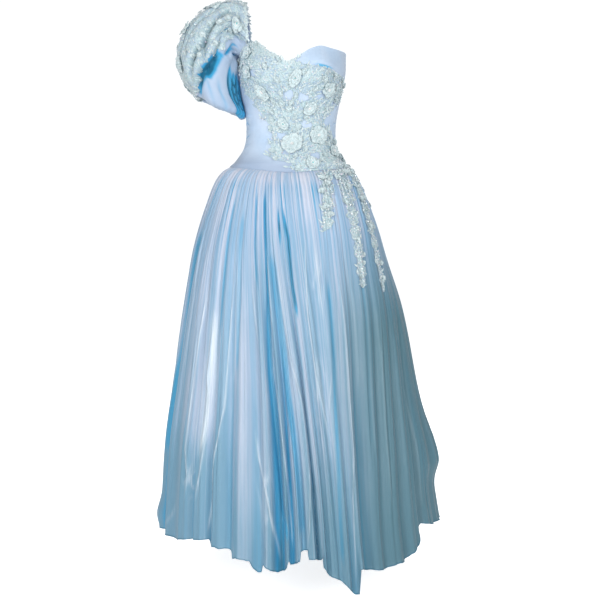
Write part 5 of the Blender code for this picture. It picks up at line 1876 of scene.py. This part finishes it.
def edge_places(rng):
    """Where leaves reach past the neck edge of the sleeve and the top of the bodice."""
    bodice, sleeve = Shared.cloths["bodice"], Shared.cloths["sleeve"]
    turn = wrap(sleeve.turn[1])
    neck = np.flatnonzero((turn < NECK_LEAVES[1]) & (turn > NECK_LEAVES[0]))
    neck = rng.choice(neck, EDGE_LEAVES[0])
    top = np.arange(bodice.columns)
    top = top[bodice_covered(bodice, np.full(len(top), bodice.rows * 0.92), top)]
    top = rng.choice(top, EDGE_LEAVES[1])
    return ((sleeve, rng.uniform(1, 4, len(neck)), neck + rng.uniform(0, 1, len(neck))),
            (bodice, bodice.rows - rng.uniform(2.5, 4.5, len(top)),
             top + rng.uniform(0, 1, len(top))))


class GOWN_OT_leaves(bpy.types.Operator):
    """Strew embroidered leaves and small flowers over the lace"""

    bl_idname = "gown.leaves"
    bl_label = "Leaves and small flowers"

    def execute(self, context):
        rng = np.random.default_rng(LEAF_SEED)
        long = settings().leaf_length / MM
        leaf = leaf_shape(long, long * LEAF_SLIMNESS)
        reach, petals, cup = SMALL_FLOWER
        small = flower_shape(reach, petals, 0, cup)
        for number, field in enumerate(lace_fields(), 1):
            cloth, covered, rows, columns, leaves, flowers, _ = field
            stamps = Stamps()
            lift = LACE_LIFT + LACE_CLOTH + LEAF_LIFT
            row, column = scatter(cloth, covered, rng, leaves, LEAF_SPACING, rows, columns,
                                  avoid_hearts(cloth, LEAF_CLEARANCE))
            heading = 90 + 70 * np.sin(row / 9 + column / 13) + rng.uniform(-35, 35, len(row))
            stamps.add(cloth, leaf, row, column, heading, rng.uniform(0.7, 1.15, len(row)), lift,
                       rng.uniform(0, 1, len(row)), rng.uniform(1, 5, len(row)))
            row, column = scatter(cloth, covered, rng, flowers, FLOWER_SPACING, rows, columns,
                                  avoid_hearts(cloth, FLOWER_CLEARANCE))
            stamps.add(cloth, small, row, column, rng.uniform(0, 360, len(row)),
                       rng.uniform(0.75, 1.2, len(row)), lift + SMALL_FLOWER_LIFT,
                       rng.uniform(0.2, 1, len(row)))
            stamps.piece(f"lace_leaves_{number}", Shared.materials["petals"], "lace")
        stamps = Stamps()
        for cloth, row, column in edge_places(rng):
            stamps.add(cloth, leaf, row, column, 90 + rng.uniform(-48, 48, len(column)),
                       rng.uniform(0.6, 1.0, len(column)),
                       LACE_LIFT + LACE_CLOTH + EDGE_LEAF_LIFT,
                       rng.uniform(0, 1, len(column)), rng.uniform(-2, 8, len(column)))
        stamps.piece("edge_leaves", Shared.materials["petals"], "lace")
        return {"FINISHED"}


def heart_ring(cloth, row, column, count, radius):
    """Rows and columns of an even ring round the heart of a flower."""
    ring = np.arange(count) * 2 * np.pi / count
    return cloth.reach(np.full(count, row), np.full(count, column), radius * np.cos(ring),
                       radius * np.sin(ring))


class GOWN_OT_beads(bpy.types.Operator):
    """Sew on the seed beads, sequins, pearls and crystals"""

    bl_idname = "gown.beads"
    bl_label = "Beads and crystals"

    def execute(self, context):
        rng = np.random.default_rng(BEAD_SEED)
        seed, pearl = bead_shape(settings().bead_radius / MM), bead_shape(PEARL_RADIUS, 9, 6)
        stone, sequin = crystal_shape(STONE_RADIUS), sequin_shape(SEQUIN_RADIUS)
        seeds, pearls, stones = Stamps(), Stamps(), Stamps()
        lift = LACE_LIFT + LACE_CLOTH + BEAD_LIFT
        for cloth, covered, rows, columns, _, _, beads in lace_fields():
            row, column = scatter(cloth, covered, rng, beads, BEAD_SPACING, rows, columns)
            seeds.add(cloth, seed, row, column, 0, rng.uniform(0.8, 1.25, len(row)), lift,
                      rng.uniform(0, 1, len(row)))
            row, column = scatter(cloth, covered, rng, beads // BEADS_PER_SEQUIN,
                                  SEQUIN_SPACING, rows, columns)
            seeds.add(cloth, sequin, row, column, rng.uniform(0, 360, len(row)), 1.0,
                      lift + SEQUIN_LIFT, rng.uniform(0, 1, len(row)),
                      rng.uniform(-22, 22, len(row)))
            row, column = scatter(cloth, covered, rng, beads // BEADS_PER_STONE,
                                  STONE_SPACING, rows, columns)
            stones.add(cloth, stone, row, column, 0, rng.uniform(0.7, 1.0, len(row)),
                       lift + STONE_LIFT, rng.uniform(0.25, 1, len(row)),
                       rng.uniform(-12, 12, len(row)))
        for number, (cloth, row, column, reach) in enumerate(Shared.hearts):
            at_row, at_column = heart_ring(cloth, row, column, HEART_PEARLS, HEART_PEARL_RING)
            pearls.add(cloth, pearl, at_row, at_column, 0, 0.85, LACE_LIFT + HEART_PEARL_LIFT,
                       rng.uniform(0, 1, HEART_PEARLS))
            stones.add(cloth, stone, row, column, 22, 1.25, LACE_LIFT + HEART_STONE_LIFT,
                       0.05 if number % 3 == 0 else 0.5)
            at_row, at_column = heart_ring(cloth, row, column, HEART_BEADS, reach * HEART_BEAD_RING)
            seeds.add(cloth, seed, at_row, at_column, 0, 1.1, LACE_LIFT + HEART_BEAD_LIFT,
                      rng.uniform(0, 1, HEART_BEADS))
        seeds.piece("seed_beads_and_sequins", Shared.materials["seeds"], "beads")
        pearls.piece("pearls", Shared.materials["pearls"], "beads")
        stones.piece("crystals", Shared.materials["crystals"], "beads", smooth=False)
        return {"FINISHED"}


def area_light(name, place, target, size, power, tone):
    """A soft round lamp that points at a target."""
    light = bpy.data.lights.new(name, "AREA")
    light.shape = "DISK"
    light.size, light.energy, light.color = size, power, tone
    lamp = bpy.data.objects.new(name, light)
    lamp.location = place
    lamp.rotation_mode = "QUATERNION"
    lamp.rotation_quaternion = (Vector(target) - Vector(place)).to_track_quat("-Z", "Y")
    bpy.context.scene.collection.objects.link(lamp)


class GOWN_OT_stage(bpy.types.Operator):
    """Add the pale floor, the soft studio lights and the camera"""

    bl_idname = "gown.stage"
    bl_label = "Floor, lights and camera"

    def execute(self, context):
        scene = context.scene
        floor = bmesh.new()
        bmesh.ops.create_circle(floor, cap_ends=True, segments=96, radius=FLOOR_RADIUS)
        mesh = bpy.data.meshes.new("floor")
        floor.to_mesh(mesh)
        floor.free()
        mesh.materials.append(stage_material("Pale floor", (0.93, 0.94, 0.95), FLOOR_GLOW))
        ground = bpy.data.objects.new("floor", mesh)
        ground.location.z = CAD_BOX[0][2] - settings().floor_drop
        scene.collection.objects.link(ground)
        world = bpy.data.worlds.new("Studio")
        scene.world = world
        world.use_nodes = True
        tree = world.node_tree
        feed(tree, tree.nodes["Background"], Color=(0.97, 0.99, 1.0, 1))
        strength = times(tree, camera_ray(tree), STUDIO_SEEN - STUDIO_GLOW, STUDIO_GLOW)
        feed(tree, tree.nodes["Background"], Strength=strength)
        for light in LIGHTS:
            area_light(*light)
        camera = bpy.data.cameras.new("camera")
        camera.lens, camera.sensor_width, camera.shift_y = CAMERA_LENS, 36, CAMERA_SHIFT
        camera.clip_end = 200
        eye = bpy.data.objects.new("camera", camera)
        eye.location = CAMERA_PLACE
        eye.rotation_euler = (math.radians(90 - CAMERA_TILT), 0, 0)
        scene.collection.objects.link(eye)
        scene.camera = eye
        scene.view_settings.view_transform = "Standard"
        return {"FINISHED"}


STEPS = (GOWN_OT_cloths, GOWN_OT_bodice, GOWN_OT_skirt, GOWN_OT_sleeve, GOWN_OT_lace,
         GOWN_OT_flowers, GOWN_OT_leaves, GOWN_OT_beads, GOWN_OT_stage)


class GOWN_PT_panel(bpy.types.Panel):
    """Lists the steps that build the gown"""

    bl_idname = "GOWN_PT_panel"
    bl_label = "Ball gown"
    bl_space_type = "VIEW_3D"
    bl_region_type = "UI"
    bl_category = "Gown"

    def draw(self, context):
        for key in GownSettings.__annotations__:
            self.layout.prop(context.scene.gown, key)
        for step in STEPS:
            self.layout.operator(step.bl_idname)


CLASSES = (GownSettings, *STEPS, GOWN_PT_panel)


def register():
    for kind in CLASSES:
        bpy.utils.register_class(kind)
    bpy.types.Scene.gown = PointerProperty(type=GownSettings)


def unregister():
    del bpy.types.Scene.gown
    for kind in reversed(CLASSES):
        bpy.utils.unregister_class(kind)


def main():
    register()
    for step in STEPS:
        group, name = step.bl_idname.split(".")
        getattr(getattr(bpy.ops, group), name)()


if __name__ == "__main__":
    main()
